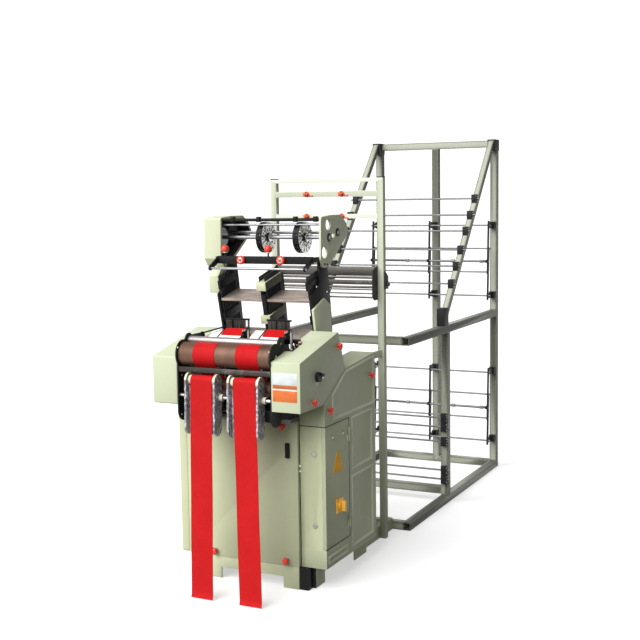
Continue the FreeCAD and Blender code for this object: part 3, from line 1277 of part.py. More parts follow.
save("plinth", plinth(), corner_block(LEFT), corner_block(RIGHT))
save("left_column", left_column())
save("right_column", right_column(), *door_hinges())
save("front_cover", front_cover())
save("cover_latch", cover_latch())
save("rear_cover", rear_cover())
save("bed", bed())
save("cabinet_box", cabinet_box())
save("cabinet_door", cabinet_door())
for name, height in LOCK_Z.items():
    save(name + "_lock", door_lock(height))
save("switch_plate", switch_plate())
save("switch_handle", switch_handle())
save("left_housing", left_housing())
save("right_housing", right_housing())
save("hand_knobs", *hand_knobs())
save("side_crank", side_crank())

save("end_plates", end_plate(LEFT), end_plate(RIGHT), clamp_block())
save("take_up_roller", roller(TAKE_UP_R, JOURNAL_R, TAKE_UP_Y, TAKE_UP_Z))
save("press_roller", roller(PRESS_R, 6.0, PRESS_Y, PRESS_Z))
save("lower_roller", roller(LOWER_R, 8.0, LOWER_Y, LOWER_Z))
save("chute_shaft", across(CHUTE_SHAFT_R, -HOUSING_INNER, HOUSING_INNER, CHUTE_SHAFT_Y, CHUTE_SHAFT_Z),
     *chute_collars())
save("chutes", *[chute(side) for side in TAPE_X])
save("chute_rollers", *[chute_roller(side) for side in TAPE_X])
save("guide_bar", guide_bar(), *stay_rods())
save("tapes", *[tape(side) for side in TAPE_X])
save("breast_plates", *[breast_plate(side) for side in TAPE_X])

save("sley", sley())
save("reeds", *[reed(side) for side in TAPE_X])
save("bed_fittings", *[sley_bearing(x) for x in (-140, 0, 140)], *[spindle_bearing(side) for side in TAPE_X],
     *[breast_post(side) for side in TAPE_X])
for side in TAPE_X:
    save(side + "_needle", needle_spindle(side), needle(side))

save("motor", motor())
save("motor_rotor", *motor_rotor())
save("main_shaft", *main_shaft())
save("drive_belts", belt(DRIVE_X, (MAIN_Y, MAIN_Z, DRIVE_R), (MOTOR_Y, MOTOR_Z, MOTOR_PULLEY_R)),
     belt(CAM_PULLEY_X, (MAIN_Y, MAIN_Z, CAM_PULLEY_R), (CAM_Y, CAM_Z, CAM_PULLEY_R)))
save("cam_cases", *[cam_case(side) for side in HEAD_X])
save("cam_shaft", *cam_shaft())

save("side_plates", *side_plates().values(), *outer_combs())
save("centre_combs", *centre_combs())
for name, first in (("odd_frames", 0), ("even_frames", 1)):
    save(name, *[heald_frame(side, i) for side in HEAD_X for i in range(first, FRAMES, 2)])
save("side_brackets", left_bracket(), right_bracket(), *head_brackets())

save("head_right_plate", head_right_plate())
save("head_left_case", head_left_case())
save("feeder_shaft", *feeder_shaft())
save("counter_shaft", *counter_shaft())
save("feeder_drums", *[feeder_drum(x) for x in DRUM_X])
save("head_rods", *tie_rods(), *rod_fittings(), thread_rod())
save("tension_bar", tension_bar())
save("red_tensioners", *red_tensioners(), *ball_guides())

save("gantry", gantry())
save("gantry_tensioners", *gantry_tensioners())
save("guide_plates", *guide_plates(), post_bracket())
save("warp_guides", guide_sheet(), guide_bar_rear(), *guide_rods())
save("creel", creel())
save("tube_sockets", *creel_corners(), *post_caps())
save("creel_rods", *creel_rods(), *spool_rods())
save("rod_clamps", *rod_clamps())
save("spool_arms", *spool_arms())
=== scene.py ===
"""Looks of a two-head needle loom for narrow webbing: enamel, steel, woven webs and small fittings."""
import math
import bmesh
import bpy
from mathutils import Matrix, Vector, noise


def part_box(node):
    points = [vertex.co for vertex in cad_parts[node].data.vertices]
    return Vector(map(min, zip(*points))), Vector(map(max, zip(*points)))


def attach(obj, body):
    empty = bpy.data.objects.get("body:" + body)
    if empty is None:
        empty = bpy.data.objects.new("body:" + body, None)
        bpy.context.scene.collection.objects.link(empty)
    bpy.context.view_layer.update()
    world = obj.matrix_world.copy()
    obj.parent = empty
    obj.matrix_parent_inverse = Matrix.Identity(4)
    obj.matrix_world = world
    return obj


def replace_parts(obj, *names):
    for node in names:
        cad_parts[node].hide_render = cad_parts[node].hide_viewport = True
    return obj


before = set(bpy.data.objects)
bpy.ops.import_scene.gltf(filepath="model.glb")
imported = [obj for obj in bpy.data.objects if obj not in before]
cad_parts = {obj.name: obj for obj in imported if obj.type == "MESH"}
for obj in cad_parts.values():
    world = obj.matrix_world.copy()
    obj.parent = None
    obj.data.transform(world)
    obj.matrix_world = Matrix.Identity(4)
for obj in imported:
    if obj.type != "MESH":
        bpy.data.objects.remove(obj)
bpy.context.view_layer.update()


# ---- plinth ------------
# The plinth is a welded steel box on four feet with two channel rails to the creel, enamelled
# sage green. Hard black blocks pack its front corners where it was levelled on the floor.
class Value:
    """A value inside a finish. Sums and products of values add the Math nodes they need."""

    def __init__(self, recipe, socket):
        self.recipe = recipe
        self.socket = socket

    def math(self, operation, *values):
        return self.recipe.node("ShaderNodeMath", {"operation": operation}, dict(enumerate(values)))

    def __add__(self, other):
        return self.math("ADD", self, other)

    def __sub__(self, other):
        return self.math("SUBTRACT", self, other)

    def __rsub__(self, other):
        return self.math("SUBTRACT", other, self)

    def __mul__(self, other):
        return self.math("MULTIPLY", self, other)

    def __abs__(self):
        return self.math("ABSOLUTE", self)

    __radd__ = __add__
    __rmul__ = __mul__

    def sine(self):
        return self.math("SINE", self)

    def rise(self, low, high):
        """0 below the low value, 1 above the high one, and a smooth climb between them."""
        settings = {"interpolation_type": "SMOOTHSTEP"}
        inputs = {"Value": self, "From Min": low, "From Max": high}
        return self.recipe.node("ShaderNodeMapRange", settings, inputs)


class Recipe:
    """A tree of shader nodes."""

    def __init__(self, tree):
        self.tree = tree

    def node(self, kind, settings=None, inputs=None, output=0):
        fresh = self.tree.nodes.new(kind)
        for key, value in (settings or {}).items():
            setattr(fresh, key, value)
        for key, value in (inputs or {}).items():
            self.feed(fresh.inputs[key], value)
        return Value(self, fresh.outputs[output])

    def feed(self, socket, value):
        if isinstance(value, Value):
            self.tree.links.new(value.socket, socket)
        elif isinstance(value, tuple) and len(value) == 3 and socket.type == "RGBA":
            socket.default_value = (*value, 1.0)
        else:
            socket.default_value = value


class Finish(Recipe):
    """One material, made of nodes around a Principled shader."""

    def __init__(self, name, **constants):
        self.material = bpy.data.materials.new(name)
        self.material.use_nodes = True
        super().__init__(self.material.node_tree)
        self.shader = self.tree.nodes["Principled BSDF"]
        self.place = self.node("ShaderNodeTexCoord", output="Object")
        for socket, value in constants.items():
            self.shader.inputs[socket.replace("_", " ")].default_value = value

    def part(self, axis):
        """How far along one axis of the loom a spot lies, in metres."""
        return self.node("ShaderNodeSeparateXYZ", None, {0: self.place}, output=axis)

    def speckle(self, size, stretch=(1, 1, 1), detail=3.0):
        """Smooth noise with blotches of about this size, in metres."""
        scaled = self.node("ShaderNodeMapping", None, {"Vector": self.place, "Scale": stretch})
        return self.node("ShaderNodeTexNoise", None,
                         {"Vector": scaled, "Scale": 1 / size, "Detail": detail, "Roughness": 0.55})

    def blend(self, factor, first, second):
        """The first colour, turning into the second as the factor goes from 0 to 1."""
        return self.node("ShaderNodeMix", {"data_type": "RGBA"},
                         {0: factor, 6: first, 7: second}, output=2)

    def edges(self, reach):
        """1 on the outer and inner corners of the metal, 0 on its flats."""
        soft = self.node("ShaderNodeBevel", {"samples": 4}, {"Radius": reach})
        plain = self.node("ShaderNodeNewGeometry", output="Normal")
        level = self.node("ShaderNodeVectorMath", {"operation": "DOT_PRODUCT"}, {0: soft, 1: plain},
                          output="Value")
        return (1 - level).rise(0.01, 0.16)

    def wear(self, colour, roughness, metallic=None, height=None, depth=0.0004, coat=None, alpha=None):
        """Give the shader what changes over the surface."""
        for socket, value in (("Base Color", colour), ("Roughness", roughness), ("Metallic", metallic),
                              ("Coat Weight", coat), ("Alpha", alpha)):
            if value is not None:
                self.feed(self.shader.inputs[socket], value)
        if height is not None:
            relief = {"Height": height, "Distance": depth, "Strength": 0.6}
            self.feed(self.shader.inputs["Normal"], self.node("ShaderNodeBump", None, relief))
        return self.material


def enamel(name, colour, bright, dull, roughness=0.42):
    """Brushed-on machine enamel: cloudy colour, paler corners that are partly worn and partly painted
    highlight, oily dust low down.
    """
    finish = Finish(name, Coat_Roughness=0.18, Specular_IOR_Level=0.14)
    cloud = finish.speckle(0.45, detail=2.0)
    mottle = finish.speckle(0.035)
    grain = finish.speckle(0.0035, detail=2.0)
    # Painted highlight, partly: the corners turn to the paler colour as wear and to stand for the light they
    # catch.
    rubbed_and_lit = finish.edges(0.004) * mottle.rise(0.3, 0.55)
    dust = (1 - finish.part(2).rise(0.0, 0.26)) * cloud.rise(0.3, 0.7)
    ground = finish.blend(cloud.rise(0.25, 0.75) * 0.5 + mottle * 0.25, colour, dull)
    ground = finish.blend(dust * 0.35, ground, (0.20, 0.19, 0.14))
    ground = finish.blend(rubbed_and_lit * 0.7, ground, bright)
    gloss = roughness + mottle * 0.14 + dust * 0.2
    return finish.wear(ground, gloss, height=grain * 0.7 + mottle, depth=0.0006, coat=0.05 - dust * 0.04)


SAGE = (0.54, 0.57, 0.365)
SAGE_WORN_AND_LIT = (0.70, 0.74, 0.56)
SAGE_DULL = (0.43, 0.465, 0.31)
sage_enamel = enamel("sage_enamel", SAGE, SAGE_WORN_AND_LIT, SAGE_DULL)


def black_enamel(name, colour=(0.007, 0.007, 0.008), roughness=0.3):
    """Black stoved enamel, grey on its corners, partly worn and partly painted highlight."""
    finish = Finish(name, Specular_IOR_Level=0.12)
    mottle = finish.speckle(0.02)
    grain = finish.speckle(0.002, detail=2.0)
    # Painted highlight, partly: the corners turn grey as wear and to stand for the light they catch.
    rubbed_and_lit = finish.edges(0.002) * mottle.rise(0.35, 0.7)
    ground = finish.blend(mottle * 0.5, colour, (0.020, 0.020, 0.019))
    ground = finish.blend(rubbed_and_lit * 0.45, ground, (0.14, 0.135, 0.13))
    return finish.wear(ground, roughness + mottle * 0.2, height=grain, depth=0.0003)


black_stoved = black_enamel("black_stoved")


def finish_mesh(mesh, angle=35.0):
    """Smooth the bends of a mesh and keep its corners sharp."""
    mesh.shade_smooth()
    mesh.set_sharp_from_angle(angle=math.radians(angle))


def welded(node):
    """The node's own shape, its doubled corners joined."""
    shape = bmesh.new()
    shape.from_mesh(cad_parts[node].data)
    bmesh.ops.remove_doubles(shape, verts=shape.verts, dist=1e-6)
    return shape


def settled(name, shape):
    """The shape as a mesh, once it needs no more work."""
    mesh = bpy.data.meshes.new(name)
    shape.to_mesh(mesh)
    shape.free()
    return mesh


def placed(name, data):
    """A new object in the scene."""
    piece = bpy.data.objects.new(name, data)
    bpy.context.scene.collection.objects.link(piece)
    return piece


def eased(node, body, finish, ease=0.0015, rounds=2, accents=()):
    """The node's own shape with eased corners. Accents are (material, test on a face) pairs."""
    shape = welded(node)
    bmesh.ops.dissolve_limit(shape, angle_limit=math.radians(0.6), verts=shape.verts, edges=shape.edges)
    mesh = settled(node + "_shape", shape)
    mesh.materials.clear()
    piece = placed(node + "_eased", mesh)
    if ease:
        corner = piece.modifiers.new("corner", "BEVEL")
        corner.width = ease
        corner.segments = rounds
        corner.limit_method = "ANGLE"
        corner.angle_limit = math.radians(32)
        bevelled = piece.evaluated_get(bpy.context.evaluated_depsgraph_get())
        mesh = bpy.data.meshes.new_from_object(bevelled)
        piece.modifiers.clear()
        piece.data = mesh
    mesh.materials.append(finish)
    for index, (accent, test) in enumerate(accents, start=1):
        mesh.materials.append(accent)
        for face in mesh.polygons:
            if test(face):
                face.material_index = index
    finish_mesh(mesh)
    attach(piece, body)
    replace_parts(piece, node)


plinth_low, plinth_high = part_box("plinth")
BLOCK_DEEP, BLOCK_WIDE = 0.047, 0.062  # the levelling blocks, from the plinth's front corners


def on_levelling_block(face):
    out = abs(face.center.x - (plinth_low.x + plinth_high.x) / 2)
    return face.center.y < plinth_low.y + BLOCK_DEEP and plinth_high.x - BLOCK_WIDE < out < plinth_high.x


eased("plinth", "machine", sage_enamel, 0.002, accents=[(black_stoved, on_levelling_block)])


# ---- columns and covers ------------
# Two hollow iron castings stand on the plinth, filled, rubbed down and enamelled. Pressed
# panels stiffen their sides. Folded sheet covers close the front and the louvred back.
# Painted shade: the right column takes a darker copy of the sage enamel, standing for the shade on the
# machine's right side.
painted_shade_enamel = enamel("painted_shade_enamel", (0.47, 0.50, 0.335), SAGE_WORN_AND_LIT, (0.38, 0.41, 0.28))
# Painted highlight: the panel beads are enamelled paler than the columns so that they read as lit edges.
bead_highlight_enamel = enamel("bead_highlight_enamel", (0.66, 0.70, 0.53), SAGE_WORN_AND_LIT, (0.56, 0.60, 0.44))
eased("left_column", "machine", sage_enamel, 0.003)
eased("right_column", "machine", painted_shade_enamel, 0.003)
eased("front_cover", "machine", sage_enamel, 0.0012)
eased("rear_cover", "machine", sage_enamel, 0)
eased("cover_latch", "latch", black_stoved, 0.0012)

left_wall, right_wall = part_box("left_column"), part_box("right_column")
LEFT_FACE = left_wall[0].x
RIGHT_FACE = left_wall[1].x + right_wall[0].x - LEFT_FACE  # the right side mirrors the left
PANEL_DEEP = 0.002
BEAD = ((0.012, -0.0006), (0.0095, 0.0022), (0.006, 0.0034), (0.002, 0.0022), (-0.002, -0.0022))


def pressed_panels(node, floor, way):
    """The outline of each pressed panel in a column's side, as (y, z) points."""
    shape = welded(node)
    floors = {face for face in shape.faces
              if face.normal.x * way > 0.99 and abs(face.calc_center_median().x - floor) < 4e-4}
    rim = [edge for edge in shape.edges if sum(face in floors for face in edge.link_faces) == 1]
    outlines = []
    while rim:
        start, spot = rim.pop().verts
        points = [spot]
        while spot is not start:
            edge = next(other for other in spot.link_edges if other in rim)
            rim.remove(edge)
            spot = edge.other_vert(spot)
            points.append(spot)
        outlines.append([Vector((vert.co.y, vert.co.z)) for vert in points])
    shape.free()
    return outlines


def band(shape, low, high):
    """Add the faces between two rings of points."""
    for step in range(len(low)):
        nearby = (step + 1) % len(low)
        shape.faces.new((low[step], low[nearby], high[nearby], high[step]))


def panel_beads(shape):
    """A low rounded bead stands round each pressed panel."""
    for node, face, way in (("left_column", LEFT_FACE, -1), ("right_column", RIGHT_FACE, 1)):
        for points in pressed_panels(node, face - way * PANEL_DEEP, way):
            turns = zip(points, points[1:] + points[:1])
            if sum(one.x * two.y - two.x * one.y for one, two in turns) < 0:
                points = points[::-1]
            rings = []
            for out, rise in BEAD:
                ring = []
                for before, spot, after in zip(points[-1:] + points[:-1], points, points[1:] + points[:1]):
                    first, second = (spot - before).normalized(), (after - spot).normalized()
                    first, second = Vector((first.y, -first.x)), Vector((second.y, -second.x))
                    place = spot + (first + second) / (1 + first.dot(second)) * out
                    ring.append(shape.verts.new((face + way * rise, place.x, place.y)))
                rings.append(ring)
            for low, high in zip(rings, rings[1:] + rings[:1]):
                band(shape, low, high)


def made(name, build, body, finish, angle=35.0):
    """A piece whose mesh the build function fills, riding on a body."""
    shape = bmesh.new()
    build(shape)
    bmesh.ops.recalc_face_normals(shape, faces=shape.faces)
    mesh = settled(name, shape)
    mesh.materials.append(finish)
    finish_mesh(mesh, angle)
    piece = placed(name, mesh)
    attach(piece, body)
    return piece


made("panel_beads", panel_beads, "machine", bead_highlight_enamel)


# ---- electrical cabinet ------------
# A welded box in the right column, with a sheet door on two lift hinges. Two quarter-turn
# locks hold it, and a rotary main switch of amber moulded plastic comes through the door.
def steel(name, colour=(0.60, 0.59, 0.57), roughness=0.22, stretch=(0.02, 1, 1), scratch=0.004, plated=0.0):
    """Ground or plated steel, with fine marks drawn out along the way it was turned or drawn."""
    finish = Finish(name)
    drawn = finish.speckle(scratch, stretch, 4.0)
    smear = finish.speckle(0.05, detail=2.0)
    ground = finish.blend(drawn.rise(0.3, 0.75) * 0.5, colour, tuple(part * 0.72 for part in colour))
    ground = finish.blend(smear.rise(0.55, 0.8) * 0.35, ground, (0.33, 0.30, 0.26))
    gloss = roughness + drawn * 0.14 + smear * 0.1
    return finish.wear(ground, gloss, metallic=0.94 + plated * 0.06, height=drawn, depth=0.00003)


def moulded(name, colour, roughness=0.32, coat=0.3):
    """Moulded plastic: fine spark-eroded grain, a cloudy flow and paler corners, partly worn and partly
    painted highlight.
    """
    finish = Finish(name, Coat_Roughness=0.12, Specular_IOR_Level=0.3)
    flow = finish.speckle(0.03, detail=2.0)
    grain = finish.speckle(0.0012, detail=2.0)
    # Painted highlight, partly: the corners turn paler as wear and to stand for the light they catch.
    rubbed_and_lit = finish.edges(0.0015)
    deep = tuple(part * 0.72 for part in colour)
    ground = finish.blend(flow.rise(0.3, 0.7) * 0.5, colour, deep)
    ground = finish.blend(rubbed_and_lit * 0.3, ground, tuple(min(1.0, part * 1.2 + 0.06) for part in colour))
    return finish.wear(ground, roughness + grain * 0.16, height=grain, depth=0.0001, coat=coat - flow * 0.1)


switch_amber = moulded("switch_amber", (1.0, 0.52, 0.05))
black_plastic = moulded("black_plastic", (0.006, 0.006, 0.007), 0.5, 0.03)
lock_steel = steel("lock_steel", (0.36, 0.37, 0.31), 0.38)
# Painted shade: the door takes a darker copy of the sage enamel, standing for the shade on the machine's
# right side.
door_shade_enamel = enamel("door_shade_enamel", (0.46, 0.49, 0.325), SAGE_WORN_AND_LIT, (0.38, 0.41, 0.28), 0.4)
eased("cabinet_box", "machine", sage_enamel, 0.0008)
eased("cabinet_door", "door", door_shade_enamel, 0.0009)
for side in ("upper", "lower"):
    eased(side + "_lock", side + "_lock", lock_steel, 0.0006)
eased("switch_plate", "door", switch_amber, 0.0025, 3)
eased("switch_handle", "switch", switch_amber, 0.0016, 3)


def turned(shape, outline, at, way, sides=24, lobes=0):
    """Add a turned part: (height, radius) from its seat outwards, and a flute depth where it has lobes."""
    way = Vector(way).normalized()
    across = way.orthogonal().normalized()
    other = way.cross(across)
    rings = []
    for height, radius, *flute in outline:
        ring = []
        for step in range(sides):
            angle = math.tau * step / sides
            reach = radius * (1 - (flute[0] if flute else 0) * (0.5 - 0.5 * math.cos(lobes * angle)))
            spot = Vector(at) + way * height + (across * math.cos(angle) + other * math.sin(angle)) * reach
            ring.append(shape.verts.new(spot))
        rings.append(ring)
    for low, high in zip(rings, rings[1:]):
        band(shape, low, high)
    shape.faces.new(reversed(rings[0]))
    shape.faces.new(rings[-1])


def screw(shape, radius, height, at, way, sides=24):
    """Add a domed screw head."""
    outline = [(0, radius), (height * 0.45, radius), (height * 0.8, radius * 0.82), (height, radius * 0.45)]
    turned(shape, outline, at, way, sides)


def plate(shape, rim, face, thick):
    """Add a flat plate on a face that looks right, from its outline as (y, z) points."""
    back, front = [[shape.verts.new((x, y, z)) for y, z in rim] for x in (face, face + thick)]
    shape.faces.new(back)
    shape.faces.new(front)
    band(shape, back, front)


def block(shape, low, high, ease=0.0, turn=None):
    """Add a block between two corners, with eased edges, and turned about its middle if asked."""
    low, high = Vector(low), Vector(high)
    size = [max(abs(high[axis] - low[axis]), 1e-5) for axis in range(3)]
    fresh = bmesh.ops.create_cube(shape, size=1.0)["verts"]
    bmesh.ops.scale(shape, vec=size, verts=fresh)
    if ease:
        edges = list(dict.fromkeys(edge for vert in fresh for edge in vert.link_edges))
        rounded = bmesh.ops.bevel(shape, geom=edges, offset=ease, segments=2, profile=0.5, affect="EDGES")
        corners = {vert for face in rounded["faces"] for vert in face.verts}
        fresh = list(corners | {vert for vert in fresh if vert.is_valid})
    if turn is not None:
        bmesh.ops.transform(shape, matrix=turn, verts=fresh)
    bmesh.ops.translate(shape, vec=(low + high) / 2, verts=fresh)
    return fresh


door_low, door_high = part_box("cabinet_door")
switch_low, switch_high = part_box("switch_plate")
DOOR_FACE = switch_low.x
LOCK_SCREWS = (0.071, 0.174)  # back from the door's front edge
SIGN_HALF, SIGN_TALL, SIGN_ROUND = 0.052, 0.102, 0.006
GAP_SHADE_WIDE = 0.0035


def door_screws(shape):
    for back in LOCK_SCREWS:
        screw(shape, 0.0085, 0.006, (DOOR_FACE, door_low.y + back, door_high.z - 0.05), (1, 0, 0))


def door_sign(shape):
    """A plain triangular plate with rounded corners."""
    middle = (switch_low.y + switch_high.y) / 2 - 0.004
    foot = switch_high.z + 0.119
    corners = [(middle - SIGN_HALF, foot), (middle + SIGN_HALF, foot), (middle, foot + SIGN_TALL)]
    rim = []
    for start, (y, z) in zip((210, 330, 90), corners):
        inset_y = y + (middle - y) * 0.16
        inset_z = z + (foot + SIGN_TALL / 3 - z) * 0.16
        for step in range(7):
            angle = math.radians(start - 60 + 20 * step)
            rim.append((inset_y + SIGN_ROUND * math.cos(angle), inset_z + SIGN_ROUND * math.sin(angle)))
    plate(shape, rim, DOOR_FACE, 0.0012)


def cabinet_gap_shade(shape):
    """A black strip in the joint round the cabinet and its door: painted shade, standing for the shadow in
    the gap.
    """
    left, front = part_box("cabinet_box")[0].x, right_wall[0].y
    rear, top = door_high.y + 0.004, door_high.z + 0.002
    inner, outer = RIGHT_FACE - 0.001, RIGHT_FACE + 0.0009
    for z in (top, door_low.z - 0.0045):
        block(shape, (inner, front, z), (outer, rear, z + GAP_SHADE_WIDE), 0.0004)
    block(shape, (inner, rear - GAP_SHADE_WIDE, door_low.z), (outer, rear, top), 0.0004)
    block(shape, (left, front - 0.0007, top), (RIGHT_FACE, front + 0.001, top + GAP_SHADE_WIDE), 0.0003)


made("door_screws", door_screws, "door", lock_steel)
made("door_sign", door_sign, "door", moulded("sign_yellow", (1.0, 0.50, 0.015), 0.55, 0.0))
# Painted shade: a black strip fills the joint round the door where the gap lies in shadow.
made("cabinet_gap_shade", cabinet_gap_shade, "machine", black_plastic)


# ---- housings ------------
# Two cast covers with rounded noses enclose the take-up drive and its hand wheel. A printed
# foil panel of plain bands is stuck to the right one's front. It carries no words.
pale_enamel = enamel("pale_enamel", (0.51, 0.555, 0.39), (0.72, 0.76, 0.61), (0.45, 0.49, 0.34))
eased("left_housing", "machine", pale_enamel, 0.006, 3)
eased("right_housing", "machine", pale_enamel, 0.006, 3)
nose_low, nose_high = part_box("right_housing")
FOIL = (0.007, 0.118)  # from the housing's left side
for name, bottom, top, foil in (
        ("panel_field", 0.932, 0.980, moulded("foil_grey", (0.62, 0.66, 0.66), 0.25)),
        ("panel_band", 0.915, 0.931, moulded("foil_brown", (0.42, 0.115, 0.03), 0.3)),
        ("panel_line", 0.909, 0.915, moulded("foil_pale", (0.78, 0.72, 0.62), 0.3)),
        ("panel_block", 0.862, 0.909, moulded("foil_orange", (0.60, 0.135, 0.02), 0.3))):
    low = (nose_low.x + FOIL[0], nose_low.y - 0.0006, bottom)
    high = (nose_low.x + FOIL[1], nose_low.y + 0.0004, top)
    made(name, lambda shape: block(shape, low, high, 0.0002), "machine", foil)


# ---- hand knobs ------------
# Lobed knobs of red phenolic plastic screw the covers and housings down. Each has a steel
# washer under its neck.
red_plastic = moulded("red_plastic", (0.76, 0.055, 0.02))
KNOB = [(0.0025, 0.0075), (0.009, 0.0072), (0.0105, 0.0145, 0.2), (0.0125, 0.0165, 0.26),
        (0.0185, 0.0165, 0.26), (0.0215, 0.0145, 0.24), (0.0232, 0.009, 0.1), (0.024, 0.004, 0)]
WASHER = [(0, 0.0125), (0.002, 0.0125), (0.0026, 0.0118)]


def loose_parts(node):
    """The box of each separate solid in a node."""
    shape = welded(node)
    found, seen = [], set()
    for start in shape.verts:
        if start in seen:
            continue
        seen.add(start)
        group = [start]
        for vert in group:
            for edge in vert.link_edges:
                other = edge.other_vert(vert)
                if other not in seen:
                    seen.add(other)
                    group.append(other)
        found.append(tuple(Vector([pick(vert.co[axis] for vert in group) for axis in range(3)])
                           for pick in (min, max)))
    shape.free()
    return found


def knob_seats():
    """The seat and the outward way of each knob."""
    for low, high in loose_parts("hand_knobs"):
        middle = (low + high) / 2
        if high.x - low.x < high.y - low.y:
            way = 1 if middle.x > 0.02 else -1
            yield (low.x if way > 0 else high.x, middle.y, middle.z), (way, 0, 0)
        else:
            yield (middle.x, high.y, middle.z), (0, -1, 0)


def knobs(shape):
    for seat, way in knob_seats():
        turned(shape, KNOB, seat, way, sides=36, lobes=6)


def knob_washers(shape):
    for seat, way in knob_seats():
        turned(shape, WASHER, seat, way)


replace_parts(made("star_knobs", knobs, "machine", red_plastic), "hand_knobs")
made("knob_washers", knob_washers, "machine", lock_steel)


# ---- side crank ------------
# A black moulded knob on the right housing's side turns the take-up by hand. A plated screw
# holds it, and a pale pressed pointer is fixed under it.
def axis_of(node):
    """Where the middle of a turned part lies, as (y, z)."""
    low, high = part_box(node)
    return (low.y + high.y) / 2, (low.z + high.z) / 2


plated = steel("plated", (0.74, 0.74, 0.73), 0.1, plated=1.0)
crank_y, crank_z = axis_of("side_crank")
eased("side_crank", "crank", black_plastic, 0.002, 3)


def crank_screw(shape):
    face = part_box("side_crank")[1].x
    screw(shape, 0.0042, 0.0022, (face - 0.0006, crank_y, crank_z), (1, 0, 0))


def crank_pointer(shape):
    """A pressed pointer plate under the knob."""
    rim = [(crank_y - 0.012, crank_z - 0.023), (crank_y + 0.012, crank_z - 0.023), (crank_y, crank_z - 0.041)]
    plate(shape, rim, nose_high.x, 0.001)


made("crank_screw", crank_screw, "crank", plated)
made("crank_pointer", crank_pointer, "machine", moulded("pointer_white", (0.74, 0.75, 0.70)))


# ---- take-up rollers ------------
# Black cast end plates carry a rubber-and-bronze gripped take-up roller, a ground steel press
# roller above it and a lower roller below. A square steel bar guides the webs between them.
end_low, end_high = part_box("end_plates")
GRIP_Y, GRIP_Z = axis_of("take_up_roller")
CAP_SPOTS = ((GRIP_Y - 0.046, GRIP_Z + 0.03), (GRIP_Y - 0.02, GRIP_Z - 0.09), (GRIP_Y - 0.03, 0.775))


def bronze_grip(name):
    """Brown gripping rubber wound on bronze, with fine turns and worn, shiny tracks."""
    finish = Finish(name)
    turns = (finish.part(0) * 2600.0).sine()
    grit = finish.speckle(0.0012, detail=3.0)
    blotch = finish.speckle(0.05, (1, 0.4, 0.4))
    ground = finish.blend(blotch.rise(0.3, 0.75), (0.15, 0.072, 0.042), (0.105, 0.052, 0.032))
    ground = finish.blend(grit.rise(0.45, 0.75) * 0.35, ground, (0.21, 0.11, 0.07))
    return finish.wear(ground, 0.36 + grit * 0.2 + blotch * 0.1, metallic=0.35 + blotch * 0.15,
                       height=turns * 0.3 + grit, depth=0.0002)


grip = bronze_grip("bronze_grip")
polished = steel("polished", (0.80, 0.76, 0.75), 0.16, (0.05, 1, 1), 0.003)
dark_steel = steel("dark_steel", (0.055, 0.048, 0.043), 0.3, (0.03, 1, 1), 0.005)
press_steel = steel("press_steel", (0.44, 0.40, 0.40), 0.36, (0.05, 1, 1), 0.003)


def reach_from(node):
    """A measure of how far a face lies from a turned part's axis."""
    y, z = axis_of(node)
    return lambda face: math.hypot(face.center.y - y, face.center.z - z)


from_grip, from_lower = map(reach_from, ("take_up_roller", "lower_roller"))


def on_grip_journal(face):
    return from_grip(face) < 0.02


def on_lower_journal(face):
    return from_lower(face) < 0.012


eased("end_plates", "machine", black_stoved, 0.0022, 3)
eased("take_up_roller", "take_up", grip, 0.0015, accents=[(polished, on_grip_journal)])
eased("press_roller", "press", press_steel, 0.001)
eased("lower_roller", "lower", grip, 0.001, accents=[(polished, on_lower_journal)])
eased("guide_bar", "machine", dark_steel, 0.001)


def end_caps(shape):
    """Cap screws on the inner faces of the end plates, clear of the rollers."""
    for face, way in ((end_low.x + 0.0061, 1), (end_high.x - 0.0061, -1)):
        for y, z in CAP_SPOTS:
            screw(shape, 0.0052, 0.0032, (face - way * 0.0004, y, z), (way, 0, 0))


made("end_plate_screws", end_caps, "machine", plated)


# ---- chutes ------------
# Clear folded plastic sheets guard each web as it falls, on rails with cream nylon rollers
# at the top. Cream set collars hold them on a steel shaft.
def clear_sheet(name):
    """Scuffed clear plastic: milky in its scuffs, glossy, and darker in clouds at random that are painted
    reflection of a crinkled sheet.
    """
    finish = Finish(name, IOR=1.47, Coat_Roughness=0.08)
    scuff = finish.speckle(0.009, (1, 1, 0.6), 4.0)
    cloud = finish.speckle(0.03, (1, 1, 0.7))
    ground = finish.blend(scuff.rise(0.42, 0.62), (0.24, 0.23, 0.25), (0.62, 0.61, 0.64))
    # Painted reflection: the darker clouds stand for dark reflections in a crinkled sheet and don't follow
    # its folds.
    ground = finish.blend(cloud.rise(0.48, 0.66) * 0.75, ground, (0.13, 0.125, 0.14))
    return finish.wear(ground, 0.16 + scuff * 0.3, height=scuff, depth=0.0006, coat=0.45 - scuff * 0.2,
                       alpha=0.58 + scuff.rise(0.35, 0.7) * 0.34)


cream_plastic = moulded("cream_plastic", (0.80, 0.68, 0.50), 0.3, 0.2)
collar_cream = moulded("collar_cream", (0.82, 0.74, 0.60), 0.28, 0.25)
ground_steel = steel("ground_steel")
from_shaft = reach_from("chute_shaft")
CHUTE_HEAD = 0.929  # the cream heads start at this height


def on_chute_head(face):
    return face.center.z > CHUTE_HEAD


def on_collar(face):
    return from_shaft(face) > 0.0078


eased("chutes", "machine", clear_sheet("clear_sheet"), 0.003, 3, accents=[(cream_plastic, on_chute_head)])
eased("chute_rollers", "chute_rolls", cream_plastic, 0.003, 3)
eased("chute_shaft", "machine", ground_steel, 0.0006, accents=[(collar_cream, on_collar)])


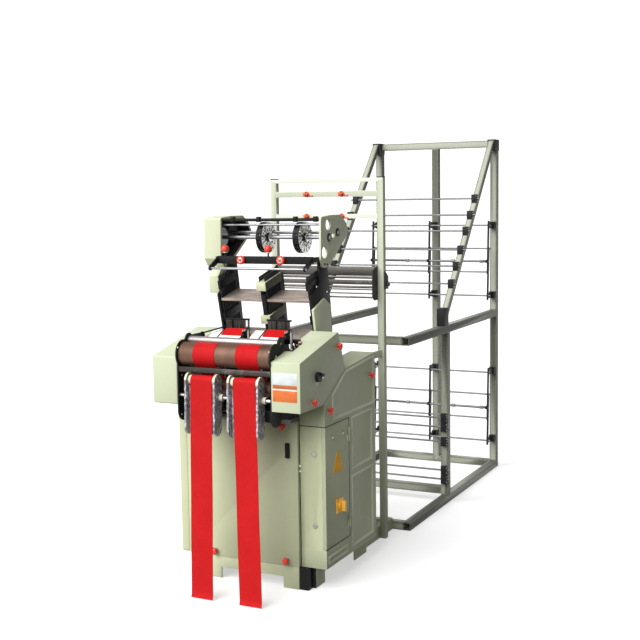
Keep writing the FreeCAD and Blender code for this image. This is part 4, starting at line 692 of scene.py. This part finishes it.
# ---- webs ------------
# Two woven polyester webs leave the breast plates, pass under the press roller, round the
# take-up and lower rollers and over the chutes, and hang to the floor. Red satin face, with
# firm bound selvedges. The take-up grip holds them; below the chutes they only hang.
plate_parts = sorted(loose_parts("breast_plates"), key=lambda pair: pair[0].x)
web_lefts = sorted(low.x for low, high in loose_parts("tapes"))
WEB_W, WEB_T, WEB_LIFT = 0.106, 0.0013, 0.00095  # width, thickness, roller to middle line
WEB_SHIFT = (0.005, 0.034)  # how far each web's end strays to the right
WEB_FOOT_Y = -1.383
COLUMNS = 18  # faces across each web


def roller_line(node):
    """(y, z, radius) of the web's middle line round a roller."""
    low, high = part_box(node)
    return *axis_of(node), (high.z - low.z) / 2 + WEB_LIFT


def leave_angle(first, second, side):
    """The angle where the web leaves one roller to cross to the far side of the next."""
    away, up = second[0] - first[0], second[1] - first[1]
    lead = math.acos((first[2] + second[2]) / math.hypot(away, up))
    return math.atan2(up, away) + side * lead


def around(circle, angle):
    return circle[0] + circle[2] * math.cos(angle), circle[1] + circle[2] * math.sin(angle)


def arc(circle, start, end):
    steps = max(4, int(abs(end - start) / math.radians(7)))
    return [around(circle, start + (end - start) * step / steps) for step in range(steps + 1)]


def web_line():
    """(y, z) points along the web's middle line, about 8 mm apart, from the breast plate down."""
    press, grips, lower, top = [roller_line(node) for node in
                                ("press_roller", "take_up_roller", "lower_roller", "chute_rollers")]
    low, high = plate_parts[0]
    slope = Vector((high.y - low.y, high.z - low.z)).normalized()
    lift = Vector((-slope.y, slope.x)) * 0.0016
    front = (low.y + lift.x, high.z - (high.y - low.y) * slope.y / slope.x + lift.y)
    rear = (high.y + lift.x, high.z + lift.y)
    enter = leave_angle(press, (*front, 0.0), -1)
    seat = math.atan2(press[1] - grips[1], press[0] - grips[0])
    leave, turn = leave_angle(grips, lower, -1), leave_angle(lower, top, 1)
    bends = [rear, front] + arc(press, enter, seat - math.pi)[:-1]
    bends += arc(grips, seat, leave + math.tau)
    bends += arc(lower, leave + math.pi, turn - math.tau)
    bends += arc(top, turn - math.pi, math.pi)
    bends.append((WEB_FOOT_Y + 0.006, 0.0052 + 0.02))
    bends.append((WEB_FOOT_Y + 0.0005, 0.0053))
    line = [Vector(bends[0])]
    for spot in map(Vector, bends[1:]):
        start = line[-1]
        gap = spot - start
        steps = max(1, int(gap.length / 0.008))
        line.extend([start + gap * step / steps for step in range(1, steps + 1)])
    return [spot for index, spot in enumerate(line) if index == 0 or (spot - line[index - 1]).length > 1e-5]


def woven(name):
    """Satin webbing: fine weft ribs across, warp floats along, and a bound cord at each edge."""
    finish = Finish(name, Sheen_Roughness=0.4, Sheen_Weight=0.06, Sheen_Tint=(1.0, 0.3, 0.25, 1.0),
                    Specular_IOR_Level=0.12)
    uv = finish.node("ShaderNodeUVMap", {"uv_map": "weave"}, output="UV")
    across = finish.node("ShaderNodeSeparateXYZ", None, {0: uv}, output=0)
    along = finish.node("ShaderNodeSeparateXYZ", None, {0: uv}, output=1)
    ribs = (along * (math.tau / 0.0011)).sine()
    floats = (across * (math.tau / 0.0014) + along * (math.pi / 0.0011)).sine()
    edge = abs(across - WEB_W / 2).rise(WEB_W / 2 - 0.0042, WEB_W / 2 - 0.0030)
    scaled = finish.node("ShaderNodeMapping", None, {"Vector": uv, "Scale": (1.0, 0.12, 1.0)})
    streak = finish.node("ShaderNodeTexNoise", None, {"Vector": scaled, "Scale": 420.0, "Detail": 3.0})
    shade = finish.node("ShaderNodeTexNoise", None, {"Vector": uv, "Scale": 9.0, "Detail": 2.0})
    ground = finish.blend(streak.rise(0.3, 0.7), (0.43, 0.005, 0.006), (0.52, 0.007, 0.009))
    ground = finish.blend(shade.rise(0.4, 0.7) * 0.4, ground, (0.38, 0.004, 0.006))
    ground = finish.blend(edge * 0.55, ground, (0.31, 0.003, 0.005))
    ground = finish.blend(ribs.rise(0.2, 1.0) * 0.12, ground, (0.58, 0.018, 0.018))
    height = ribs * 0.5 + floats * 0.35 + edge * 1.2
    return finish.wear(ground, 0.42 + streak * 0.2 - floats * 0.05, height=height, depth=0.0003)


web_red = woven("web_red")


def web_row(side, line, index, length, fallen, left):
    """The upper and under points across a web, slightly cupped where it falls."""
    spot = line[index]
    before, after = line[max(index - 1, 0)], line[min(index + 1, len(line) - 1)]
    along = (after - before).normalized()
    off = Vector((-along.y, along.x)) * WEB_T / 2
    upper, under = [], []
    for column in range(COLUMNS + 1):
        share = column / COLUMNS
        cup = 0.0
        if 0 < fallen < 0.985:
            wave = noise.noise(Vector((side * 7.0, length * 3.2, share * 1.3)))
            cup = (wave * 0.0035 - 0.002 * math.sin(math.pi * share)) * math.sin(math.pi * fallen)
        thin = 0.45 if column in (0, COLUMNS) else 1.0
        for row, way in ((upper, 1), (under, -1)):
            row.append((left + WEB_W * share, spot.x + off.x * way * thin + cup, spot.y + off.y * way * thin))
    return upper, under


def web(side, name, left, shift):
    """One web as a closed thin sheet with soft edges."""
    line = web_line()
    lengths = [0.0]
    for first, second in zip(line, line[1:]):
        lengths.append(lengths[-1] + (second - first).length)
    roll_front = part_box("chute_rollers")[0].y - 0.0008
    start = next(length for length, spot in zip(lengths, line) if spot.x < roll_front)

    def build(shape):
        layer = shape.loops.layers.uv.new("weave")
        rows = []
        for index, length in enumerate(lengths):
            fallen = max(0.0, (length - start) / (lengths[-1] - start))
            levels = web_row(side, line, index, length, fallen, left + shift * fallen)
            pairs = [[shape.verts.new(spot) for spot in pair] for pair in zip(*levels)]
            rows.append(list(zip(*pairs)))

        def face(*spots):
            """Add a face between (row, level, column) spots, and mark where it lies in the weave."""
            fresh = shape.faces.new([rows[row][level][column] for row, level, column in spots])
            for loop, (row, level, column) in zip(fresh.loops, spots):
                loop[layer].uv = (WEB_W * column / COLUMNS, lengths[row])

        for row in range(len(rows) - 1):
            for column in range(COLUMNS):
                for level, way in ((0, -1), (1, 1)):
                    quad = ((row, level, column), (row, level, column + 1),
                            (row + 1, level, column + 1), (row + 1, level, column))
                    face(*quad[::way])
            for column in (0, COLUMNS):
                face((row, 0, column), (row + 1, 0, column), (row + 1, 1, column), (row, 1, column))
        for row in (0, len(rows) - 1):
            for column in range(COLUMNS):
                face((row, 0, column), (row, 0, column + 1), (row, 1, column + 1), (row, 1, column))

    piece = made(name, build, "machine", web_red, 60)
    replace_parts(piece, "tapes")


for side, name in enumerate(("left_web", "right_web")):
    web(side, name, web_lefts[side], WEB_SHIFT[side])


# ---- breast plates ------------
# Pale enamelled steel plates slope down to the rollers, with wings past the left edge of each
# web. Black edge guides are screwed on beside the webs, the left one with a ball-ended lever.
white_enamel = enamel("white_enamel", (0.80, 0.78, 0.76), (0.86, 0.86, 0.84), (0.66, 0.64, 0.62), 0.28)
eased("breast_plates", "machine", white_enamel, 0.0008)


def plate_lean(low, high):
    """How steeply a breast plate slopes, as its fall and as a turn."""
    drop = (high.z - low.z - 0.004) / (high.y - low.y)
    return drop, Matrix.Rotation(math.atan(drop), 4, "X")


def plate_wings(shape):
    """Folded pale wings that carry each breast plate on to its left."""
    for low, high in plate_parts:
        level = (low.z + high.z) / 2
        block(shape, (low.x - 0.052, low.y + 0.001, level - 0.0015),
              (low.x - 0.001, high.y - 0.001, level + 0.0015), 0.0006, plate_lean(low, high)[1])


def edge_guides(shape):
    """Black edge guides on both sides of each web."""
    for (low, high), web_left in zip(plate_parts, web_lefts):
        level = (low.z + high.z) / 2
        drop, turn = plate_lean(low, high)
        left, right = web_left - 0.0012, web_left + WEB_W + 0.0012
        block(shape, (left - 0.006, low.y + 0.003, level - 0.003), (left, high.y, level + 0.0045),
              0.0012, turn)
        level -= 0.013 * drop  # the right one stops clear of the needle's upright
        block(shape, (right, low.y + 0.003, level - 0.003), (right + 0.009, high.y - 0.026, level + 0.0045),
              0.0012, turn)


def guide_levers(shape):
    """A ball-ended lever that reaches forward and left from the left head's edge guide."""
    low, high = plate_parts[0]
    heel = Vector((low.x - 0.004, high.y - 0.008, high.z + 0.006))
    tip = Vector((low.x - 0.073, low.y + 0.004, low.z + 0.028))
    reach = (tip - heel).length
    turned(shape, [(0, 0.0036), (reach - 0.006, 0.0032), (reach - 0.005, 0.005), (reach, 0.0068),
                   (reach + 0.005, 0.0062), (reach + 0.0075, 0.003)], heel, tip - heel, 16)
    turned(shape, [(-0.004, 0.006), (0.004, 0.008), (0.010, 0.006)], heel, tip - heel, 16)


made("plate_wings", plate_wings, "machine", white_enamel)
made("edge_guides", edge_guides, "machine", black_stoved)
made("guide_levers", guide_levers, "machine", black_stoved)


# ---- sley, reeds and weft needles ------------
# A cast sley on bearings under the bed rocks two steel reeds. Beside each web a bent needle on
# an upright spindle swings the weft across, with small brackets and springs round it. The
# needles' drive shows in a pocket of the right housing.
bright_steel = steel("bright_steel", (0.66, 0.65, 0.64), 0.18, (1, 1, 0.05))
copper = steel("copper", (0.72, 0.34, 0.20), 0.24, (1, 1, 1))
needle_steel = steel("needle_steel", (0.13, 0.128, 0.125), 0.24, (1, 1, 0.05))
eased("sley", "sley", black_stoved, 0.0018)
reed_low, reed_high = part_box("reeds")
REED_MIDDLE, REED_HALF = (reed_low.z + reed_high.z) / 2, (reed_high.z - reed_low.z) / 2


def reed_finish(name):
    """Flat steel dents standing side by side in a pitch-bound frame."""
    finish = Finish(name)
    dents = (finish.part(0) * (math.tau / 0.0016)).sine()
    grime = finish.speckle(0.02)
    ground = finish.blend(dents.rise(-0.2, 0.5), (0.05, 0.05, 0.05), (0.20, 0.19, 0.18))
    ground = finish.blend(grime.rise(0.5, 0.75) * 0.4, ground, (0.20, 0.17, 0.13))
    baulk = abs(finish.part(2) - REED_MIDDLE).rise(REED_HALF - 0.0085, REED_HALF - 0.008)
    ground = finish.blend(baulk, ground, (0.02, 0.018, 0.017))
    return finish.wear(ground, 0.3 + grime * 0.2, metallic=0.85 - grime * 0.2, height=dents, depth=0.0004,
                       alpha=dents.rise(0.45, 0.6) * (1 - baulk) + baulk)


eased("reeds", "sley", reed_finish("reed_dents"), 0.0006)
for side in ("left", "right"):
    eased(side + "_needle", side + "_needle", needle_steel, 0.0006)
eased("bed", "machine", steel("machined_iron", (0.12, 0.115, 0.11), 0.42, (1, 0.05, 1)), 0.0015)
eased("bed_fittings", "machine", black_stoved, 0.0015)

POST_OUT, POST_YS = 0.019, (-1.100, -1.084)  # right of each web, and back from the front
ROCKER_SPOTS = ((-1.168, 1.036), (-1.092, 1.048))
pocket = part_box("right_housing")[0].x + 0.0105


def weft_fittings(shape):
    """Brackets and spring posts of the weft motion, beside each web."""
    for left in web_lefts:
        right = left + WEB_W
        block(shape, (right + 0.012, -1.112, 1.088), (right + 0.026, -1.046, 1.102), 0.002)
        block(shape, (right + 0.014, -1.070, 1.102), (right + 0.022, -1.058, 1.126), 0.0015)
        for y, outline in zip(POST_YS, ([(0, 0.0055), (0.012, 0.0055), (0.0135, 0.0042)],
                                        [(0, 0.004), (0.016, 0.004), (0.017, 0.003)])):
            turned(shape, outline, (right + POST_OUT, y, 1.100), (0, 0, 1), 16)


def weft_springs(shape):
    """Bright coil springs and screws on the weft fittings."""
    coil = [(step * 0.0012, 0.0038 + 0.0011 * (step % 2)) for step in range(8)]
    for left in web_lefts:
        post = left + WEB_W + POST_OUT
        for y in POST_YS:
            turned(shape, coil, (post, y, 1.114), (0, 0, 1), 14)
        screw(shape, 0.0045, 0.003, (post, -1.053, 1.1015), (0, 0, 1), 16)


def pocket_block(shape, low, high, ease, lean=0.0):
    """Add a block inside the right housing's pocket, leaning if asked."""
    turn = Matrix.Rotation(lean, 4, "X") if lean else None
    block(shape, (pocket + low[0], *low[1:]), (pocket + high[0], *high[1:]), ease, turn)


def weft_drive(shape):
    """The needle drive's cast bracket, rocker and boss, in the right housing's pocket."""
    pocket_block(shape, (0, -1.184, 1.000), (0.006, -1.085, 1.052), 0.0025)
    pocket_block(shape, (0.004, -1.150, 1.044), (0.018, -1.112, 1.060), 0.003, 0.5)
    pocket_block(shape, (0.010, -1.106, 1.030), (0.020, -1.066, 1.070), 0.003, -0.4)
    for (y, z), reach in zip(ROCKER_SPOTS, (0.0115, 0.0135)):
        boss = [(0, reach), (0.012, reach), (0.014, reach * 0.8)]
        turned(shape, boss, (pocket + 0.004, y, z), (1, 0, 0), 20)


def weft_drive_screws(shape):
    """Plated clamp screws and the needle's crank pin."""
    for y, z in ROCKER_SPOTS:
        screw(shape, 0.0062, 0.004, (pocket + 0.0178, y, z), (1, 0, 0), 18)
    turned(shape, [(0, 0.003), (0.030, 0.003), (0.031, 0.0042), (0.036, 0.0042), (0.037, 0.003)],
           (pocket + 0.011, -1.140, 1.046), (0, -0.35, 0.94), 16)
    pocket_block(shape, (0.002, -1.176, 1.052), (0.012, -1.160, 1.060), 0.0015)


def weft_lever(shape):
    """A bronze lever leans across the pocket."""
    pocket_block(shape, (0.006, -1.146, 1.061), (0.013, -1.086, 1.068), 0.0022, 0.45)
    turned(shape, [(0, 0.0062), (0.010, 0.0062), (0.0115, 0.005)], (pocket + 0.005, -1.090, 1.076),
           (1, 0, 0), 18)


made("weft_fittings", weft_fittings, "machine", black_stoved)
made("weft_springs", weft_springs, "machine", bright_steel)
made("weft_drive", weft_drive, "machine", black_stoved)
made("weft_drive_screws", weft_drive_screws, "machine", plated)
made("weft_lever", weft_lever, "machine", copper)


# ---- drive ------------
# A motor on the plinth drives the main shaft by two rubber belts, and the shaft drives the
# cams under the healds. It all runs inside the columns, behind the covers.
eased("motor", "machine", black_stoved, 0.002)
eased("motor_rotor", "motor_shaft", bright_steel, 0.001)
eased("main_shaft", "main", bright_steel, 0.001)
eased("drive_belts", "machine", black_enamel("belt_rubber", (0.012, 0.012, 0.013), 0.5), 0)
eased("cam_shaft", "cams", bright_steel, 0.0006)
eased("cam_cases", "machine", steel("case_iron", (0.30, 0.29, 0.27), 0.45, (1, 1, 1)), 0.0015)


# ---- heald unit ------------
# Three black steel plates carry two packs of ten aluminium heald frames. Slotted nylon combs guide
# the frames; the middle ones have pale faces, with painted shade on their sides and undersides.
# Cream brackets stand outside the plates.
def heald_bars(name):
    """Anodised heald bars, brown-grey and brushed along their length."""
    finish = Finish(name)
    drawn = finish.speckle(0.006, (0.05, 1, 1), 3.0)
    smear = finish.speckle(0.04)
    ground = finish.blend(drawn.rise(0.3, 0.7), (0.27, 0.215, 0.185), (0.50, 0.42, 0.37))
    ground = finish.blend(smear.rise(0.5, 0.75) * 0.5, ground, (0.16, 0.13, 0.11))
    return finish.wear(ground, 0.34 + drawn * 0.2, metallic=0.55 + smear * 0.2, height=drawn, depth=0.0003)


heald_metal = heald_bars("heald_metal")
frame_low, frame_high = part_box("odd_frames")
HEAD_MIDDLES = (frame_low.x + 0.106, frame_high.x - 0.106)
STRUT_OUT, STRUT_HALF = 0.1035, 0.0032  # a strut's place from its head's middle
BOLT_SPOTS = ((-0.905, 1.30), (-0.90, 1.215), (-0.80, 1.27), (-0.862, 1.12), (-0.80, 1.10), (-0.77, 0.92))


def on_strut(face):
    """The blackened guide struts at both ends of each frame."""
    return min(abs(abs(face.center.x - middle) - STRUT_OUT) for middle in HEAD_MIDDLES) < STRUT_HALF


eased("side_plates", "machine", black_stoved, 0.0012)
for kind in ("odd", "even"):
    eased(kind + "_frames", kind + "_healds", heald_metal, 0.0005, 1, [(black_stoved, on_strut)])

comb_pale = moulded("comb_pale", (0.66, 0.68, 0.47), 0.35, 0.2)
comb_side_shade = moulded("comb_side_shade", (0.075, 0.07, 0.045), 0.45, 0.1)


# Painted shade: the combs' sides and undersides are dark olive, standing for the shade on them.
def on_comb_shaded_face(face):
    return abs(face.normal.x) > 0.6 or face.normal.z < -0.5


eased("centre_combs", "machine", comb_pale, 0.0012, accents=[(comb_side_shade, on_comb_shaded_face)])
cream_enamel = enamel("cream_enamel", (0.56, 0.59, 0.42), (0.76, 0.79, 0.62), (0.48, 0.51, 0.35), 0.34)
eased("side_brackets", "machine", cream_enamel, 0.0015)


def plate_bolts(shape):
    """Cap screws in the side plates' outer faces."""
    left, right = [corner.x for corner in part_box("side_plates")]
    for y, z in BOLT_SPOTS:
        screw(shape, 0.0052, 0.0035, (right - 0.0003, y, z), (1, 0, 0), 16)
        screw(shape, 0.0052, 0.0035, (left + 0.0003, y, z), (-1, 0, 0), 16)


made("plate_bolts", plate_bolts, "machine", plated)


# ---- feeder head ------------
# A cast drive case on the left and a cream plate on the right carry two geared shafts. The
# feed wheels have black perforated rims and bright pressed faces. Round rods tie the head.
case_dark = black_enamel("case_dark", (0.03, 0.03, 0.028), 0.5)
chrome_rods = steel("chrome_rods", (0.30, 0.30, 0.31), 0.26, (0.03, 1, 1), plated=1.0)
gear_black = black_enamel("gear_black", (0.025, 0.025, 0.026), 0.35)
case_low, case_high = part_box("head_left_case")
CASE_WALL, CASE_Y, CASE_Z = 0.0065, -0.75, 1.5  # the wall, and a spot inside the case
GEAR_ROOM = 0.028  # the gears end this far inside the case
BLADES = 14
HUB_CAP = [(0, 0.0195), (0.0085, 0.0185), (0.0098, 0.0150)]
TOP_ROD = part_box("head_rods")[1].z - 0.028
FEED_Y, FEED_Z = axis_of("feeder_shaft")
from_feeder, from_counter = map(reach_from, ("feeder_shaft", "counter_shaft"))


def in_case(face):
    """The faces inside the drive case."""
    inside = face.center
    inward = (inside - Vector((inside.x, CASE_Y, CASE_Z))).dot(face.normal) < 0
    rim = inside.x > case_low.x + CASE_WALL and abs(face.normal.x) < 0.5 and inward
    return rim or (face.normal.x > 0.5 and inside.x < case_high.x - 0.004)


def on_top_rod(face):
    return face.center.z > TOP_ROD


def on_gear(face):
    return face.center.x < case_high.x - GEAR_ROOM and from_feeder(face) > 0.0092


def on_counter_gear(face):
    return face.center.x < case_high.x - GEAR_ROOM and from_counter(face) > 0.0082


def on_drum_face(face):
    return abs(face.normal.x) > 0.7 and from_feeder(face) < 0.0668


eased("head_left_case", "machine", cream_enamel, 0.002, accents=[(case_dark, in_case)])
eased("head_right_plate", "machine", cream_enamel, 0.0012)
eased("head_rods", "machine", chrome_rods, 0.0004, accents=[(black_stoved, on_top_rod)])
eased("feeder_shaft", "feeder", chrome_rods, 0, accents=[(gear_black, on_gear)])
eased("counter_shaft", "counter", chrome_rods, 0, accents=[(gear_black, on_counter_gear)])
eased("feeder_drums", "feeder", black_stoved, 0.0005, 1, accents=[(plated, on_drum_face)])
eased("tension_bar", "machine", black_stoved, 0.0012)


def drum_petals(shape):
    """Pressed bright blades round each feed wheel's outer face, and its hub cap."""
    for low, high in loose_parts("feeder_drums"):
        for face, way in ((high.x - 0.008, 1), (low.x + 0.008, -1)):
            for blade in range(BLADES):
                petal = block(shape, (face - 0.0010, -0.0032, 0.022), (face + 0.0024, 0.0032, 0.066), 0.0008)
                turn = Matrix.Rotation(math.tau * (blade + 0.5) / BLADES, 4, "X")
                bmesh.ops.transform(shape, matrix=turn, verts=petal)
                bmesh.ops.translate(shape, vec=(0, FEED_Y, FEED_Z), verts=petal)
            turned(shape, HUB_CAP, (face, FEED_Y, FEED_Z), (way, 0, 0), 28)


def head_bushes(shape):
    """Black bushes round the shafts on the right head plate, and bolt heads."""
    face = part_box("head_right_plate")[1].x - 0.0002
    for node in ("feeder_shaft", "counter_shaft"):
        bush = [(0, 0.0185), (0.0022, 0.0185), (0.003, 0.0165)]
        turned(shape, bush, (face, *axis_of(node)), (1, 0, 0), 28)
    for y, z in ((-0.862, 1.395), (-0.835, 1.392)):
        screw(shape, 0.0052, 0.0035, (face, y, z), (1, 0, 0), 16)


made("drum_petals", drum_petals, "feeder", plated)
made("head_bushes", head_bushes, "machine", black_stoved)


# ---- thread tensioners ------------
# Red disc and ball tensioners stand on the black bar, each on a bright ring. Red star nuts
# on short posts press the yarn discs on the gantry's beams.
DISC_WIDE = 0.038  # a disc is wider than this, a ball is not
DISC = [(0.0, 0.0180), (0.003, 0.0200, 0.05), (0.013, 0.0200, 0.05), (0.0165, 0.0175, 0.03),
        (0.0175, 0.0120), (0.0190, 0.0070), (0.0235, 0.0060), (0.024, 0.004)]
BALL = [(0.0, 0.009), (0.003, 0.0135), (0.009, 0.0172), (0.016, 0.0178), (0.023, 0.0160),
        (0.029, 0.011), (0.0318, 0.004)]
STAR = [(0.0, 0.0150), (0.002, 0.0150), (0.0028, 0.006), (0.009, 0.006), (0.010, 0.0135, 0.38),
        (0.0165, 0.0148, 0.42), (0.022, 0.0135, 0.38), (0.0235, 0.0070), (0.029, 0.0055)]


def red_discs(shape):
    for low, high in loose_parts("red_tensioners"):
        middle = (low + high) / 2
        if high.x - low.x > DISC_WIDE:
            turned(shape, DISC, (middle.x, high.y, middle.z), (0, -1, 0), 40, 8)
        else:
            turned(shape, BALL, (middle.x, middle.y, low.z), (0, 0, 1), 32)


def bright_rings(shape):
    for low, high in loose_parts("red_tensioners"):
        middle = (low + high) / 2
        if high.x - low.x > DISC_WIDE:
            turned(shape, [(0, 0.0112), (0.0016, 0.0118), (0.003, 0.0100)],
                   (middle.x, low.y + 0.0078, middle.z), (0, -1, 0), 28)
        else:
            turned(shape, [(-0.004, 0.0085), (0.0, 0.0110), (0.002, 0.0110)], (middle.x, middle.y, low.z),
                   (0, 0, 1), 28)


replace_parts(made("red_discs", red_discs, "machine", red_plastic), "red_tensioners")
made("tensioner_rings", bright_rings, "machine", plated)


def star_nuts(shape):
    for low, high in loose_parts("gantry_tensioners"):
        seat = (low.x + 0.015, high.y, (low.z + high.z) / 2)
        turned(shape, STAR, seat, (0, -1, 0), 40, 5)
        block(shape, (low.x + 0.026, high.y - 0.006, low.z + 0.003), (high.x, high.y - 0.0005, low.z + 0.011),
              0.0015)


nut_red = moulded("nut_red", (0.74, 0.13, 0.05))
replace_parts(made("star_nuts", star_nuts, "machine", nut_red), "gantry_tensioners")


# ---- gantry and warp guides ------------
# A frame of square tube straddles the rails behind the machine, its beams enamelled near
# white. Below them, dark plates and steel rods guide the warps, with black end plates.
gantry_enamel = enamel("gantry_enamel", (0.50, 0.53, 0.41), (0.72, 0.75, 0.62), (0.42, 0.45, 0.34), 0.4)
beam_enamel = enamel("beam_enamel", (0.66, 0.68, 0.58), (0.82, 0.84, 0.76), (0.56, 0.58, 0.48), 0.4)
BEAM_LEFT, BEAM_RIGHT, BEAM_FOOT = -0.262, 0.285, 1.57  # the beams between the gantry's posts


def on_beam(face):
    return BEAM_LEFT < face.center.x < BEAM_RIGHT and face.center.z > BEAM_FOOT


eased("gantry", "machine", gantry_enamel, 0.0018, accents=[(beam_enamel, on_beam)])
guide_brown = black_enamel("guide_brown", (0.055, 0.046, 0.038), 0.34)
guide_steel = steel("guide_steel", (0.13, 0.12, 0.11), 0.32, (0.03, 1, 1), plated=1.0)
eased("guide_plates", "machine", guide_brown, 0.0008)
eased("warp_guides", "machine", guide_steel, 0.0006)


# ---- creel ------------
# The creel is a frame of square steel tube, its back posts braced by two long slanting tubes.
# Black sockets join the tubes. Black clamps hold rows of steel spool rods.
def tube_enamel(name, colour, deep):
    """Olive enamel on drawn tube, with painted shade darkening each edge so that the middle of each face
    looks lighter.
    """
    finish = Finish(name, Specular_IOR_Level=0.2)
    # Painted shade: the edges of each tube turn nearly black, standing for the shading across the tube's
    # faces.
    rim = finish.edges(0.011).rise(0.02, 0.25)
    mottle = finish.speckle(0.03)
    cloud = finish.speckle(0.4, detail=2.0)
    dull = tuple(part * 0.8 for part in colour)
    ground = finish.blend(cloud.rise(0.3, 0.7) * 0.35 + mottle * 0.2, colour, dull)
    ground = finish.blend(rim * 0.85, ground, deep)
    return finish.wear(ground, 0.34 + mottle * 0.15, height=mottle, depth=0.0004)


creel_enamel = tube_enamel("creel_enamel", (0.38, 0.395, 0.315), (0.035, 0.038, 0.027))
eased("creel", "machine", creel_enamel, 0.002)
eased("tube_sockets", "machine", black_plastic, 0.002)
eased("rod_clamps", "machine", black_plastic, 0.002)
eased("creel_rods", "machine", steel("spool_steel", (0.16, 0.16, 0.165), 0.3, (0.02, 1, 1)), 0.0003, 1)
eased("spool_arms", "machine", black_stoved, 0.001)


def clamp_screws(shape):
    """Plated screws in the clamps' outer faces."""
    for low, high in loose_parts("rod_clamps"):
        middle = (low + high) / 2
        way = 1 if middle.x > 0 else -1
        face = high.x if way > 0 else low.x
        for up in (-0.014, 0.014):
            screw(shape, 0.0036, 0.0025, (face - way * 0.0002, middle.y, middle.z + up), (way, 0, 0), 12)


made("clamp_screws", clamp_screws, "machine", plated)


# ---- studio ------------
# A pale floor, a soft key light high at the front, and a surround that lights the machine
# from behind and is dim elsewhere, so that its right side lies in shade.
FLOOR_R = 60
GLOW_WAY = (-0.44, 0.90, 0.0)  # where the surround shines from
GLOW, GLOOM = 1.25, 0.21  # its strength there, and elsewhere
KEY_WAY = (0.28, 0.74, -0.62)
CAMERA_AT = (2.3954, -5.2543, 1.680)
CAMERA_TURN = ((26.02, "Z"), (83.79, "X"), (-0.85, "Z"))


def floor_white():
    """A matt pale floor, faintly cloudy, with an even glow."""
    finish = Finish("floor_white", Emission_Color=(1.0, 1.0, 1.0, 1.0), Emission_Strength=0.5)
    cloud = finish.speckle(1.5, detail=2.0)
    return finish.wear(finish.blend(cloud, (0.58, 0.58, 0.58), (0.61, 0.61, 0.61)), 0.6 + cloud * 0.1)


disc = bmesh.new()
bmesh.ops.create_circle(disc, cap_ends=True, radius=FLOOR_R, segments=96)
floor = placed("floor", settled("floor", disc))
floor.data.materials.append(floor_white())
floor.location.z = -0.0005
floor.visible_diffuse = False

world = bpy.data.worlds.new("studio")
bpy.context.scene.world = world
world.use_nodes = True
sky = Recipe(world.node_tree)
direction = sky.node("ShaderNodeTexCoord", output="Generated")
lean = sky.node("ShaderNodeVectorMath", {"operation": "DOT_PRODUCT"}, {0: direction, 1: GLOW_WAY},
                output="Value")
glow = lean.rise(0.74, 0.9) * (GLOW - GLOOM) + GLOOM
seen = sky.node("ShaderNodeLightPath", output="Is Camera Ray")  # it looks pale all round
backdrop = sky.tree.nodes["Background"]
backdrop.inputs["Color"].default_value = (1.0, 1.0, 1.0, 1.0)
sky.feed(backdrop.inputs["Strength"], glow.math("MAXIMUM", glow, seen))

key = bpy.data.lights.new("key", "SUN")
key.energy = 5.6
key.angle = math.radians(65)
placed("key", key).rotation_euler = Vector(KEY_WAY).to_track_quat("-Z", "Y").to_euler()

lens = bpy.data.cameras.new("camera")
lens.lens = 62.7
lens.sensor_width = 36
lens.dof.use_dof = False
camera = placed("camera", lens)
stand = Matrix.Translation(CAMERA_AT)
for angle, axis in CAMERA_TURN:
    stand = stand @ Matrix.Rotation(math.radians(angle), 4, axis)
camera.matrix_world = stand
bpy.context.scene.camera = camera
bpy.context.scene.view_settings.view_transform = "Standard"
